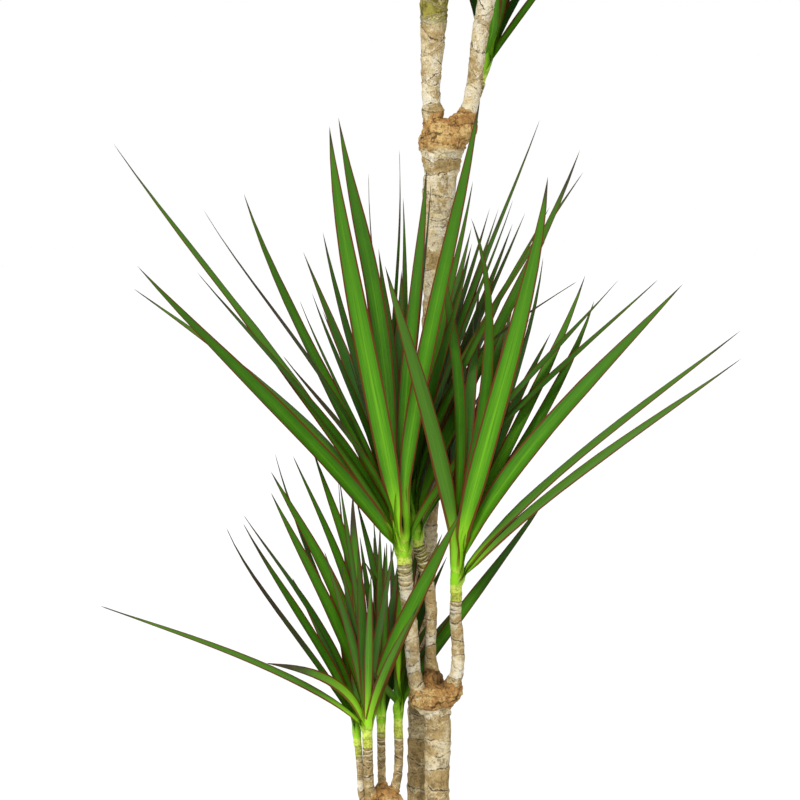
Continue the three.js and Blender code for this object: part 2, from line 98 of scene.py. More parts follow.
MOST_CLASP = 0.25  # and of the leaf's reach, at most
ROOT_FOLD = 1.3  # of the channel, how deeply a leaf is folded near its root
FOLD_LOST = 0.9  # of the channel, how much of that is gone near its tip
SAG = 0.008  # of a leaf's reach
DRY_SAG = 0.020  # more of it for a leaf that is all dry
SAG_PEAK = 12.2  # brings the most of x to the power 4 less x to the power 5 to 1
LEAST_HALF = 0.42  # half of the least width of a filling leaf
READ_LEAST_HALF = 0.7  # and of a leaf that was read
EDGE_THINNER = 0.55  # of a leaf's thickness at its midrib
THINNER_UNDER = 2.5  # half the width, below which a leaf gets thinner
RIPPLE = 0.16  # of half the width, how far the edges wave
RIPPLE_LENGTH = 48.0
FILL_UNDER = 0.15  # how much of its underside is seen, where a filling leaf leans as it looks
FILL_UNDERSIDE = 0.35  # of how pale the underside of a leaf that was read is
BEND_STEP = 9  # along the line of sight, between the bends that are tried for a leaf
BEND_TRIES = 22
SAME_TIP = 0.3  # how near a corner of the solid a leaf's tip has to be
FILL_BOW = 0.1  # of a filling leaf's level reach
FILL_SWING = 0.35  # radians, how far it is turned at most
FILL_NARROWER = 0.3  # of the width, for the outermost
GOLDEN_ANGLE = np.pi * (3 - np.sqrt(5))
UNDER_CALLUS = 3.5  # how much narrower a trunk's end is, where the callus covers it
CALLUS_RING = 72.5  # half way between two scars, and above the numbers of a trunk's own
TRUNK_MESH = (52, 1.3)  # points round a trunk, and the distance from ring to ring
STEM_MESH = (32, 0.7)

# The rings that carry a callus down its trunk and up its side stems, as collar() takes them.
TRUNK_COLLAR = ((-0.5, -1.5), (0.0, -0.5), (0.25, 0.3), (0.5, 0.9), (0.8, 1.2), (1.0, 1.4))
STEM_COLLAR = ((0.0, 0.8), (0.3, 0.8), (0.55, 0.2), (0.8, -1.4))

# Rows of [x as seen, height, depth, radius] from the foot up. A row of a callus is [x as seen,
# height, depth, half width, half depth, half height].
CANES = {
    "cane_tall": dict(
        trunk=(
            (4, 80, 38, 13.5), (5, 190, 38, 13.5), (7, 400, 38, 12.2), (8, 575, 38, 11.7),
            (11, 719, 38, 11.6), (15, 810, 38, 11.2), (19, 899, 38, 11), (22, 990, 38, 11.6),
            (25, 1045, 38, 15), (27, 1070, 38, 16),
        ),
        callus=((27, 1077, 38, 21, 20, 21), (43, 1088, 36, 15, 15, 14)),
        stems=(
            (
                (20, 1085, 38, 9), (17, 1119, 38, 8.3), (17.5, 1151, 38, 10), (19, 1187, 38, 12.2),
                (20, 1215, 38, 13.8), (20, 1250, 38, 13),
            ),
            (
                (46, 1088, 38, 9), (53, 1115, 38, 7.4), (56, 1133, 38, 7.2), (60, 1169, 38, 7.6),
                (67, 1205, 38, 7.7), (76, 1240, 38, 8), (84, 1268, 38, 8),
            ),
            ((44, 1086, 45, 8), (52, 1107, 58, 6), (60, 1130, 66, 5.8)),
        ),
    ),
    "cane_medium": dict(
        trunk=(
            (24, 80, -33, 12.5), (24, 190, -33, 12.5), (23, 400, -33, 11.2), (22.5, 500, -33, 10.9),
            (22.5, 560, -33, 11.4), (21, 576, -33, 13),
        ),
        callus=(
            (19, 574, -33, 18.5, 17, 13.5), (37, 583, -38, 7.5, 9, 11), (30, 574, -36, 9, 10, 9),
            (6, 577, -35, 9, 10, 10), (19, 590, -29, 9.5, 10, 12),
        ),
        stems=(
            (
                (8, 574, -37, 7.5), (2.5, 593, -39, 6.6), (-0.5, 629, -40, 6.3),
                (-5, 674, -40, 6.4), (-7.2, 697, -40, 6.8),
            ),
            (
                (19, 588, -27, 9.2), (17, 606, -24, 6.2), (16.5, 665, -22, 5.4),
                (11, 695, -22, 5.4), (5.8, 713, -22, 5.5),
            ),
            (
                (34, 582, -38, 7.5), (40, 598, -43, 6.2), (41, 629, -46, 5.8), (39, 652, -47, 5.3),
                (40, 672, -47, 5.2),
            ),
        ),
    ),
    "cane_short": dict(
        trunk=(
            (-27, 80, -42, 11.5), (-27, 190, -42, 11.5), (-26, 330, -42, 10.4),
            (-25, 450, -42, 10.2), (-25, 478, -42, 11),
        ),
        callus=((-25, 482, -42, 14.5, 14, 12), (-36, 478, -45, 10, 10, 9)),
        stems=(
            (
                (-41, 472, -44, 4.5), (-45.5, 488, -44, 3.4), (-47, 510, -43, 3.1),
                (-49, 533, -42, 3.2),
            ),
            (
                (-36, 478, -48, 5.5), (-39, 496, -54, 4.6), (-40, 520, -57, 4.4),
                (-40.5, 540, -57, 4.6),
            ),
            ((-27, 486, -38, 4.6), (-27.5, 505, -35, 3.8), (-28, 546, -34, 3.7)),
            (
                (-19, 484, -38, 5), (-14, 500, -33, 4.2), (-12, 525, -31, 4),
                (-12.6, 550.5, -31, 4.1),
            ),
        ),
    ),
}

# For each cane: how far apart its trunk's scars are, how brown its bark is, the share of that which
# is lost towards the callus, and how brown the callus is.
TRUNK_BARK = {
    "cane_tall": (15.0, 0.75, 0.65, 0.2),
    "cane_medium": (13.0, 0.45, 0.3, 0.8),
    "cane_short": (12.0, 0.5, 0.3, 0.6),
}

# For each side stem: how far apart its scars are under the crown and further down, and how far
# down they open out; its bark, as how far down the young bark is whole, where it ends, how green
# it is, how brown the old bark is (below 0: paler than usual) and the share of that which is lost
# towards the crown; and how much a scar dips, as a share of the pitch.
STEM_BARK = {
    "cane_tall": (
        ((7.0, 11.0, 120.0), (60.0, 77.0, 1.0, -0.4, 0.0), 0.9),
        ((6.0, 11.0, 120.0), (20.0, 70.0, 0.5, -0.3, 0.0), 0.7),
        ((4.0, 9.0, 30.0), (3.0, 16.0, 0.8, 0.3, 0.0), 0.3),
    ),
    "cane_medium": (
        ((3.2, 10.0, 60.0), (5.0, 19.0, 0.7, -0.3, 0.0), 0.3),
        ((3.0, 12.0, 80.0), (17.0, 26.0, 0.95, 0.3, 0.0), 0.3),
        ((3.1, 9.0, 50.0), (8.0, 9.6, 2.0, -0.1, 0.0), 0.3),
    ),
    "cane_short": (
        ((3.2, 9.0, 40.0), (9.0, 14.0, 1.5, 0.0, 0.0), 0.25),
        ((3.0, 9.0, 40.0), (9.0, 10.6, 2.0, 0.8, 0.0), 0.25),
        ((3.0, 9.0, 40.0), (5.0, 7.0, 1.4, 1.1, 0.0), 0.25),
        ((3.0, 9.0, 40.0), (10.0, 13.0, 1.9, 0.9, 0.0), 0.25),
    ),
}

# Each crown has the place of its base, as [x as seen, height, depth], the radius and height of its
# shoot, how far that leans for each unit of height, its leaves and what rest_of_leaves() takes for
# the others. A row of leaves is [reach, depth, rise, width, turn, bow, brightness, dry share of the
# tip, how much of the underside is seen]: the first three lead from the base to the tip as seen.
# The brightness is partly painted shade: low for a leaf in shadow inside the crown, high for one in
# full light.
CROWNS = {
    "crown_medium_middle": dict(
        at=(5.4, 715, -22),
        core=(5.8, 58),
        lean=-0.2,
        leaves=(
            (145, 60, 355, 17, -50, 3, 0.45, 0.12, 0.3),
            (148, 84, 335, 13, -56, 28, 0.35, 0.1, 0.3),
            (118, 44, 304, 12, -62, 15, 0.3, 0.1, 0),
            (109, 98, 382, 12, -56, 16, 0.2, 0.1, 0),
            (85, 72, 310, 11, -66, 9, 0.25, 0.1, 0),
            (49, 42, 327, 14, -48, 5, 0.45, 0.06, 0),
            (143, 22, 237, 6, -60, 50, 0.25, 0.3, 0),
            (216, -4, 239, 12, -66, 17, 0.25, 0.08, 0.3),
            (-17, 20, 355, 8, 62, 14, 0.1, 0.2, 0),
        ),
        rest=dict(count=12, arc=(40, 62), lengths=(250, 330), leans=(12, 36), width=15),
    ),
    "crown_medium_left": dict(
        at=(-7.2, 699, -40),
        core=(7.4, 62),
        lean=-0.08,
        leaves=(
            (-67, -55, 392, 19, 2, -2, 1, 0.05, 0),
            (-59, -22, 400, 16, 14, 11, 0.6, 0.05, 0),
            (68, -38, 417, 15.5, -12, 8, 0.62, 0.06, 0),
            (20, -8, 354, 14, -20, 6, 0.55, 0.06, 0),
            (24, 8, 342, 12, -66, 3, 0.3, 0.08, 0),
            (-261, -20, 377, 13, 62, 11, 0.5, 0.1, 0.6),
            (-186, 18, 261, 12, 70, 15, 0.2, 0.15, 0),
            (-180, 40, 317, 9, 68, 18, 0.1, 0.5, 0),
            (-144, 32, 332, 16, 46, -3, 0.5, 0.06, 0),
            (-94, 52, 236, 10, 72, 4, 0.25, 0.1, 0),
            (-83, 62, 243, 14, 62, 5, 0.2, 0.1, 0),
            (-73, 84, 297, 15, 50, 0, 0.35, 0.08, 0),
            (-50, 48, 185, 10, 66, 4, 0.2, 0.1, 0),
            (-240, -70, 267, 18, 54, 9, 0.38, 0.05, 0),
            (-244, -42, 247, 14, 66, 28, 0.5, 0.08, 0.9),
            (-109, -32, 186, 8, 66, 17, 0.2, 0.5, 0),
            (-32, 70, 350, 8, 70, 0, 0.1, 0.9, 0),
            (-1, 92, 328, 14, 55, -16, 0.5, 0.06, 0.9),
            (194, 30, 256, 14, -68, 14, 0.25, 0.1, 0.2),
        ),
        rest=dict(count=9, arc=(92, 122), lengths=(260, 340), leans=(14, 46), width=16),
    ),
    "crown_medium_right": dict(
        at=(39.6, 674, -47),
        core=(6.2, 60),
        lean=0.04,
        leaves=(
            (-64, -72, 292, 17, 28, 10, 0.45, 0.06, 0.8),
            (82, -45, 372, 18.5, -6, -3, 1, 0.06, 0),
            (78, -12, 300, 15, -58, -6, 0.3, 0.05, 0),
            (204, -32, 276, 18, -44, 18, 0.55, 0.05, 0),
            (256, -8, 234, 14, -70, 16, 0.35, 0.1, 0.9),
            (257, -38, 209, 13, -70, 14, 0.35, 0.1, 0.9),
            (116, 18, 284, 17, -48, -1, 0.85, 0.06, 0.3),
            (124, 30, 261, 16, -48, -4, 0.6, 0.06, 0),
            (-13, 22, 306, 15, 42, 13, 0.35, 0.06, 0),
            (13, 36, 335, 15, -42, -16, 0.3, 0.06, 0),
            (15, 58, 249, 10, -62, -16, 0.2, 0.08, 0),
        ),
        rest=dict(count=12, arc=(62, 100), lengths=(240, 320), leans=(16, 50), width=16),
    ),
    "crown_short_2": dict(
        at=(-40.5, 542, -57),
        core=(5.4, 40),
        lean=0,
        leaves=(
            (-241, -35, 117, 7, 62, 16, 0.4, 0.12, 0.9),
            (-91, -38, 65, 9.5, 40, 20, 0.6, 0.3, 1),
            (85, -42, 204, 15, -10, 8, 0.7, 0.05, 0),
            (-13, -12, 219, 13, 20, 0, 1, 0.2, 0),
            (-87, -15, 220, 14, 46, 9, 0.65, 0.06, 0),
            (-87, 10, 239, 15, 42, 16, 0.7, 0.06, 0),
            (-83, 26, 255, 11, 62, 0, 0.25, 0.1, 0),
            (-67, 36, 253, 12, 50, 18, 0.75, 0.06, 0),
            (-50, 20, 261, 13, 46, 15, 0.7, 0.06, 0),
            (-26, 46, 232, 9, 60, -2, 0.7, 0.1, 1),
            (-25, 4, 231, 9, 48, 10, 0.6, 0.06, 0),
        ),
        rest=dict(
            count=6, arc=(240, 300), lengths=(150, 200), leans=(14, 46), width=12, bright=(4, 5)
        ),
    ),
    "crown_short_4": dict(
        at=(-12.6, 552.5, -31),
        core=(4.8, 38),
        lean=0,
        leaves=(
            (138, 72, 212, 14, -40, 4, 0.6, 0.06, 0),
            (-25, -18, 50, 7, 40, -0.5, 0.2, 0.1, 0),
            (4, -10, 150, 9, -30, 2, 0.8, 0.1, 0),
        ),
        rest=dict(count=11, arc=(62, 96), lengths=(150, 210), leans=(16, 62), width=12),
    ),
    "crown_short_1": dict(
        at=(-49.5, 535, -42),
        core=(4.2, 36),
        lean=-0.05,
        leaves=(
            (-118, -10, 195, 8, 60, 0, 0.1, 0.6, 0),
            (-103, 26, 207, 10, 60, 13, 0.2, 0.2, 0),
            (-103, 8, 199, 11, 54, 5, 0.3, 0.2, 0),
        ),
        rest=dict(count=10, arc=(82, 120), lengths=(150, 200), leans=(16, 62), width=11),
    ),
    "crown_short_3": dict(
        at=(-28, 548, -34),
        core=(4.6, 36),
        lean=0,
        leaves=(
            (-15, -16, 151, 12, 44, 27, 0.5, 0.06, 0),
            (-23, 10, 210, 12, 52, 16, 0.6, 0.06, 0),
            (-7, 26, 191, 10, 52, 19, 0.6, 0.06, 0),
            (-1, -8, 183, 11, 40, 0, 0.3, 0.08, 0.8),
            (5, 2, 169, 9, 44, 2, 0.6, 0.06, 0),
        ),
        rest=dict(count=10, arc=(72, 112), lengths=(150, 215), leans=(16, 60), width=11),
    ),
    "crown_tall_back": dict(
        at=(60.5, 1132.5, 66),
        core=(6.4, 50),
        lean=0.3,
        leaves=(
            (116, 20, 168, 10, -50, 1, 0.4, 0.05, 0),
            (62, 30, 172, 9, -60, 2, 0.45, 0.05, 0.4),
            (-12, 26, 190, 17, 10, 8, 0.45, 0.05, 0),
        ),
        rest=dict(count=17, arc=(48, 112), lengths=(240, 320), leans=(10, 48), width=14),
    ),
    "crown_tall_left": dict(
        at=(20, 1252.5, 38),
        core=(13.4, 70),
        lean=0,
        leaves=(),
        rest=dict(count=34, arc=(75, 285), lengths=(330, 400), leans=(8, 76), width=17),
    ),
    "crown_tall_right": dict(
        at=(84.5, 1270.5, 38),
        core=(8.4, 64),
        lean=0.3,
        leaves=(),
        rest=dict(count=32, arc=(-105, 80), lengths=(310, 380), leans=(8, 76), width=16),
    ),
}

POT_WALL = 3
POT_FLOOR = POT_WALL + 2  # how high its upper side is
UNDERSIDE = 2.2  # how high the lower side is, within the foot ring
FOOT_RING = (16, 13)  # how far in from the wall it starts to slope, and where it stands
RIM_HEIGHT = 24
RIM_REACH = 5  # beyond the wall
BEVEL = 2
SOIL_MOUND = 4  # how much higher the soil is in the middle than at the wall
DRAINS = dict(count=6, radius=6, ring=58)  # ring: how far from the middle they are
GAP = 0.35  # between the pot and the soil

# For each kind of crumb on the soil: how many there are, the seed, their least and greatest length,
# their width and height as shares of it, and their darkest and palest colour.
CHIPS = {
    "soil_bark_chips": (620, 5, (3.0, 13.0), 0.55, 0.30, (0.035, 0.018, 0.010), (0.20, 0.10, 0.05)),
    "soil_perlite": (150, 6, (1.6, 3.8), 0.85, 0.8, (0.55, 0.53, 0.48), (0.85, 0.84, 0.80)),
}


# ---- What a user would change ----


def length(name, text, value):
    return bpy.props.FloatProperty(
        name=name, description=text, default=value, unit="LENGTH", subtype="DISTANCE"
    )


def share(name, text, value):
    return bpy.props.FloatProperty(
        name=name, description=text, default=value, min=0.0, max=1.0, subtype="FACTOR"
    )


def colour(name, text, value):
    return bpy.props.FloatVectorProperty(
        name=name, description=text, default=value, size=3, min=0.0, max=1.0, subtype="COLOR"
    )


class PlantSizes(bpy.types.PropertyGroup):
    pot_height: length("Pot height", "From the floor to the top of the rim", 0.215)
    pot_top: length("Pot top radius", "Of the wall at the top, without the rim", 0.120)
    pot_base: length("Pot base radius", "Of the wall at the floor", 0.088)
    soil_level: length("Soil level", "How high the soil is in the middle", 0.190)
    leaf_thickness: length("Leaf thickness", "Of a blade at its midrib", 0.0007)
    channel: share("Channel", "How deeply a blade is folded along its midrib", 0.24)


class PlantColours(bpy.types.PropertyGroup):
    # painted shade: the dark green of a leaf in shadow inside a crown; older leaves and the veins use
    # it too
    leaf_deep: colour("Shaded leaf", "Of an older leaf inside a crown", (0.012, 0.060, 0.002))
    leaf_green: colour("Leaf", "Of a leaf in full light", (0.048, 0.212, 0.0025))
    # painted highlight: the colour of the bright stripe along a leaf and of the line at its midrib
    leaf_painted_highlight: colour("Leaf middle", "Of the bright stripe along a leaf", (0.115, 0.328, 0.0090))
    leaf_under: colour("Leaf underside", "Of the pale side of a leaf", (0.100, 0.235, 0.022))
    leaf_margin: colour("Leaf margin", "Of the thin edge of a leaf", (0.096, 0.022, 0.004))
    leaf_base: colour("Leaf base", "Of the foot of a leaf, on its stem", (0.240, 0.540, 0.014))
    leaf_dry: colour("Dry tip", "Of a leaf's dried tip", (0.040, 0.032, 0.016))
    bark_pale: colour("Pale bark", "Of the bark between its scars", (0.670, 0.555, 0.330))
    bark_tan: colour("Tan bark", "Of the bark's warm patches", (0.405, 0.283, 0.115))
    bark_scar: colour("Scar", "Of the rings and pits in the bark", (0.085, 0.048, 0.022))
    callus: colour("Callus", "Of the corky wood at a cut", (0.430, 0.230, 0.072))
    pot: colour("Pot", "Of the nursery pot's plastic", (0.026, 0.026, 0.028))
    soil: colour("Soil", "Of the potting mix", (0.050, 0.030, 0.018))


# ---- Shapes ----


def as_seen(places):
    """Rows of [x, z, depth]: the points seen at x and z on the plane y = 0, at their own depth."""
    places = np.asarray(places, float)
    flat = np.stack([places[..., 0], np.zeros(places.shape[:-1]), places[..., 1]], -1)
    return EYE + (flat - EYE) * (1 - places[..., 2:3] / EYE[1])


def unit(rows):
    return rows / np.linalg.norm(rows, axis=-1, keepdims=True)


def circle(count):
    """Angles that go evenly round."""
    return np.linspace(0, 2 * np.pi, count, endpoint=False)


def ways_out(along, count):
    """The ways out from a stem, evenly round it, at each of rows of its direction."""
    across = unit(np.array([1.0, 0, 0]) - along * along[:, :1])
    deep = np.cross(along, across)
    angle = circle(count)[None, :, None]
    return np.cos(angle) * across[:, None] + np.sin(angle) * deep[:, None]


def smooth(values, low, high):
    """0 below low and 1 above high, with a level start and end in between."""
    part = np.clip((values - low) / (high - low), 0, 1)
    return part * part * (3 - 2 * part)


def grain(points, size, seed):
    """Smooth noise from -1 to 1: one value at each corner of a cubic lattice, blended between."""
    place = points / size + seed * 17.31
    cell = np.floor(place).astype(np.int64)
    part = place - cell
    part = part * part * (3 - 2 * part)
    total = np.zeros(points.shape[:-1])
    for corner in itertools.product((0, 1), repeat=3):
        key = (cell + corner) @ np.array([73856093, 19349663, 83492791])
        key = ((key ^ (key >> 13)) * 1274126177) & 0xFFFFFFFF
        key = ((key ^ (key >> 15)) * 2246822519) & 0xFFFFFFFF
        total += np.prod(np.where(corner, part, 1 - part), -1) * (key / 2**31 - 1)
    return total


def shells(grid, first, last):
    """
    Closed surfaces from rings of points, a grid of [surface, ring, point]: four-sided faces join
    ring to ring, and three-sided ones join the end rings to the points first and last.
    """
    many, rings, around, _ = grid.shape
    poles = np.stack([first, last], 1)
    points = np.concatenate([grid.reshape(many, -1, 3), poles], 1)
    i, j = np.meshgrid(np.arange(rings - 1), np.arange(around), indexing="ij")
    low, high, k = i * around, (i + 1) * around, (j + 1) % around
    quads = np.stack([low + j, low + k, high + k, high + j], -1).reshape(-1, 4)
    j = np.arange(around)
    k = (j + 1) % around
    foot = np.stack([k, j, np.full(around, rings * around)], -1)
    top = (rings - 1) * around
    head = np.stack([top + j, top + k, np.full(around, rings * around + 1)], -1)
    starts = np.arange(many)[:, None, None] * points.shape[1]
    tris = (np.concatenate([foot, head]) + starts).reshape(-1, 3)
    return points.reshape(-1, 3), (quads + starts).reshape(-1, 4), tris


def on_points(values, many, rings, around):
    """Values on the grid of shells(), with those of the end rings' first points at the poles."""
    full = np.broadcast_to(values, (many, rings, around))
    ends = np.stack([full[:, 0, 0], full[:, -1, 0]], 1)
    return np.concatenate([full.reshape(many, -1), ends], 1).ravel()


def gathered(parts):
    """Several [points, quads, tris, {name: values}] as one."""
    starts = np.cumsum([0] + [len(part[0]) for part in parts])
    names = parts[0][3]
    return (
        np.concatenate([part[0] for part in parts]),
        np.concatenate([part[1] + start for part, start in zip(parts, starts)]),
        np.concatenate([part[2] + start for part, start in zip(parts, starts)]),
        {name: np.concatenate([part[3][name] for part in parts]) for name in names},
    )


def rows_of(collection, key, width=1, kind=np.float32):
    """A property of all of a mesh's points, edges, corners or faces, as rows of a width."""
    values = np.empty(width * len(collection), kind)
    collection.foreach_get(key, values)
    return values.reshape(-1, width) if width > 1 else values


def plain(name, points, quads, tris):
    """A plain object in the scene, to be worked on with modifiers."""
    mesh = bpy.data.meshes.new(name)
    mesh.from_pydata((points * MM).tolist(), [], [*quads.tolist(), *tris.tolist()])
    piece = bpy.data.objects.new(name, mesh)
    bpy.context.scene.collection.objects.link(piece)
    return piece


def worked(piece):
    """A piece's mesh with its modifiers applied."""
    bpy.context.view_layer.update()
    graph = bpy.context.evaluated_depsgraph_get()
    return bpy.data.meshes.new_from_object(piece.evaluated_get(graph))


def put(name, shape, finish, slot, *nodes):
    """Puts a shape into the scene as a piece that rides on the plant and stands for its nodes."""
    points, quads, tris, values = shape
    old = bpy.data.objects.get(name)
    if old:
        bpy.data.objects.remove(old)
    mesh = bpy.data.meshes.new(name)
    mesh.vertices.add(len(points))
    mesh.vertices.foreach_set("co", (points * MM).astype(np.float32).ravel())
    corners = np.concatenate([quads.ravel(), tris.ravel()]).astype(np.int32)
    sizes = np.concatenate([np.full(len(quads), 4), np.full(len(tris), 3)])
    mesh.loops.add(len(corners))
    mesh.loops.foreach_set("vertex_index", corners)
    mesh.polygons.add(len(sizes))
    starts = np.concatenate([[0], np.cumsum(sizes)[:-1]]).astype(np.int32)
    mesh.polygons.foreach_set("loop_start", starts)
    mesh.update(calc_edges=True)
    if mesh.validate():
        raise RuntimeError(f"{name} has faces that don't close")
    mesh.shade_smooth()
    if "across" in values:
        layer = mesh.uv_layers.new(name="blade")
        flat = np.stack([values["across"], values["along"]], -1)[corners]
        layer.data.foreach_set("uv", flat.astype(np.float32).ravel())
    for key in values.keys() - {"across", "along", "rim"}:
        layer = mesh.attributes.new(key, "FLOAT", "POINT")
        layer.data.foreach_set("value", values[key].astype(np.float32))
    if "rim" in values:
        ends = rows_of(mesh.edges, "vertices", 2, np.int32)
        sharp = values["rim"][ends].min(1) > 0
        mesh.attributes.new("sharp_edge", "BOOLEAN", "EDGE").data.foreach_set("value", sharp)
    mesh.materials.append(finish)
    piece = bpy.data.objects.new(name, mesh)
    bpy.context.scene.collection.objects.link(piece)
    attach(piece, "root")
    if nodes:
        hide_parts(*nodes)
    return piece


# ---- Leaves ----


def blade_width(place, power):
    """A blade's width at a place from root to tip, as a share of its greatest."""
    rise = 0.40 + 0.60 * np.sin(np.clip(place / WIDEST_AT, 0, 1) * np.pi / 2)
    fall = 1 - np.clip((place - WIDEST_AT) / (1 - WIDEST_AT), 0, 1) ** power
    return np.where(place < WIDEST_AT, rise, fall)


def rest_of_leaves(count, arc, lengths, leans, width, bright=()):
    """
    The leaves that fill a crown round, each a golden angle on from the last one, within an arc.
    The outer ones lean more. Their brightness, which is partly painted shade, varies from leaf to
    leaf and is lower for one that points towards or away from the eye. Those whose numbers are in
    bright are painted as in full light, as bright as can be.
    """
    i = np.arange(count)
    outer = (i + 0.5) / count
    turns = i * GOLDEN_ANGLE / (2 * np.pi)
    direction = np.radians(arc[0] + (arc[1] - arc[0]) * (turns - np.floor(turns)))
    lean = np.radians(leans[0] + (leans[1] - leans[0]) * outer)
    long = lengths[0] + (lengths[1] - lengths[0]) * np.sin(np.pi * outer)
    out = long * np.sin(lean)
    turn = np.arctan2(-np.cos(direction), np.sin(direction)) + FILL_SWING * np.sin(i)
    # painted shade in part: the brightness, lower for a leaf that points towards or away from the eye;
    # those in bright are painted as in full light
    tone = 0.30 + 0.22 * np.sin(7.0 * i) - 0.22 * np.abs(np.sin(direction))
    tone[list(bright)] = 1.0
    return np.stack(
        [
            out * np.cos(direction),
            out * np.sin(direction),
            long * np.cos(lean),
            width * (1 - FILL_NARROWER * outer),
            np.degrees(turn),
            FILL_BOW * out,
            tone,
            0.07 + 0.04 * np.sin(3.0 * i),
            np.full(count, -1.0),
        ],
        -1,
    )


def crown_leaves(crown, corners):
    """
    A crown's leaves as a dict of arrays. The more a leaf leans, the lower on the shoot is its root.
    Its tip is the one of the tried bends, along the line of sight, that a corner of the solid is
    at, and a leaf that the solid hasn't got is left out.
    """
    rows = rest_of_leaves(**crown["rest"])
    if crown["leaves"]:
        rows = np.concatenate([np.array(crown["leaves"], float), rows])
    count = len(rows)
    upright = rows[:, 2] / np.linalg.norm(rows[:, :3], axis=1)
    rank = np.empty(count)
    rank[np.argsort(upright, kind="stable")] = np.arange(count)
    radius, height = crown["core"]
    axis = unit(np.array([crown["lean"], 0, 1]))
    up = LOWEST_ROOT + ROOT_SPREAD * rank / count
    out = np.maximum(radius * (1 - up * (1 - SHOOT_TIP)) - ROOT_SUNK, 0.5)
    outward = unit(rows[:, :2]) * out[:, None]
    root = as_seen(crown["at"]) + axis * (height * up)[:, None]
    root[:, :2] += outward
    tries = np.arange(BEND_TRIES)
    bends = BEND_STEP * np.ceil(tries / 2) * np.where(tries % 2, 1, -1)
    x, z, depth = crown["at"]
    place = np.stack([x + rows[:, 0], z + rows[:, 2], depth + rows[:, 1]], -1)
    places = np.repeat(place[:, None], BEND_TRIES, 1)
    places[..., 2] += bends
    tips = as_seen(places)
    away = np.linalg.norm(tips[:, :, None] - corners[None, None], axis=-1).min(2)
    best = away.argmin(1)
    there = away.min(1) < SAME_TIP
    read = np.arange(count) < len(crown["leaves"])
    leaves = {
        "root": root,
        "tip": tips[np.arange(count), best],
        "up": up,
        "layer": 1 - rank / count,
        "width": rows[:, 3],
        "turn": np.radians(rows[:, 4]),
        "bow": rows[:, 5],
        "tone": rows[:, 6],
        "dry": rows[:, 7],
        "under": rows[:, 8],
        "read": read,
        "number": np.arange(count) * 1.0,
    }
    leaves = {key: value[there] for key, value in leaves.items()}
    return {**leaves, "axis": axis, "foot": as_seen(crown["at"]), "core": crown["core"]}


def midribs(leaves):
    """The four points of each leaf's cubic Bezier curve, as in the solids."""
    root, tip, bow = leaves["root"], leaves["tip"], leaves["bow"][:, None]
    chord = tip - root
    reach = np.linalg.norm(chord, axis=1, keepdims=True)
    along = chord / reach
    above = unit(np.array([0, 0, 1]) - along * along[:, 2:3])
    handle = bow * np.where(bow > 0, 4 / 3, 8 / 3)
    slant = np.maximum((above @ leaves["axis"])[:, None], LEAST_SLANT)
    start = np.clip(handle / (slant * reach), LEAST_START, MOST_START) * reach
    return root, root + leaves["axis"] * start, root + chord * HIGH_POINT + above * handle, tip


def only(leaves, chosen):
    """Some of a crown's leaves."""
    shared = ("axis", "foot", "core")
    return {key: value if key in shared else value[chosen] for key, value in leaves.items()}


def courses(leaves, stations, outward, reach):
    """
    The midribs at stations along them: their points and directions, the stations with those of the
    foot, how far along the leaf they are in millimetres, and the shoot's radius at each leaf's
    foot. The first part is a cubic Hermite curve from the foot, inside the shoot, to where the leaf
    is clear of it. The rest is the Bezier curve, which sags towards the tip by the fourth power of
    the way, so that the tip turns up.
    """
    radius, height = leaves["core"]
    axis = leaves["axis"]
    place = np.append(CLEAR_AT, stations[stations > CLEAR_AT * 1.2])[None, :, None]
    p0, p1, p2, p3 = (point[:, None] for point in midribs(leaves))
    back = 1 - place
    centre = p0 * back**3 + 3 * p1 * back**2 * place + 3 * p2 * back * place**2 + p3 * place**3
    along = (p1 - p0) * back**2 + 2 * (p2 - p1) * back * place + (p3 - p2) * place**2
    chord = leaves["tip"] - leaves["root"]
    above = unit(np.array([0, 0, 1]) - chord * chord[:, 2:] / reach**2)
    sag = (reach * (SAG + DRY_SAG * leaves["dry"][:, None]) * SAG_PEAK)[:, None]
    centre = centre - above[:, None] * sag * place**4 * back
    along = unit(along - above[:, None] * sag * (4 * place**3 - 5 * place**4) / 3)
    low = LOWEST_FOOT + leaves["up"] * SHEATH_FOOT
    hug = radius * shoot_width(height * low / radius, low)
    inside = (FOOT_INSIDE * hug)[:, None]
    foot = leaves["foot"] + axis * (height * low)[:, None] + outward * inside
    span = np.linalg.norm(centre[:, 0] - foot, axis=1)[:, None]
    t = np.linspace(0, 1, FOOT_RINGS + 1)[:-1][None, :, None]
    pull, push = (axis * span * FOOT_PULL)[:, None], (along[:, 0] * span)[:, None]
    start, end = foot[:, None], centre[:, :1]
    first = start * (1 + 2 * t) * (1 - t) ** 2 + pull * t * (1 - t) ** 2
    first = first + end * t**2 * (3 - 2 * t) + push * t**2 * (t - 1)
    slope = 6 * t * (1 - t) * (end - start) + pull * (1 - t) * (1 - 3 * t) + push * t * (3 * t - 2)
    layer = leaves["layer"][:, None, None]
    rise = smooth(t * span[:, None], 0, 0.8 * radius) * (SHEATH_BULGE + LAYER_BULGE * layer)
    first = first + outward[:, None] * hug[:, None, None] * rise * (1 - smooth(t, 0.3, 1.0))
    centre = np.concatenate([first, centre], 1)
    along = np.concatenate([unit(slope), along], 1)
    places = np.concatenate([t[..., 0] * CLEAR_AT, place[..., 0]], 1)
    travelled = np.concatenate([t[..., 0] * span, span + (place[..., 0] - CLEAR_AT) * reach], 1)
    return centre, along, np.broadcast_to(places, travelled.shape), travelled, hug


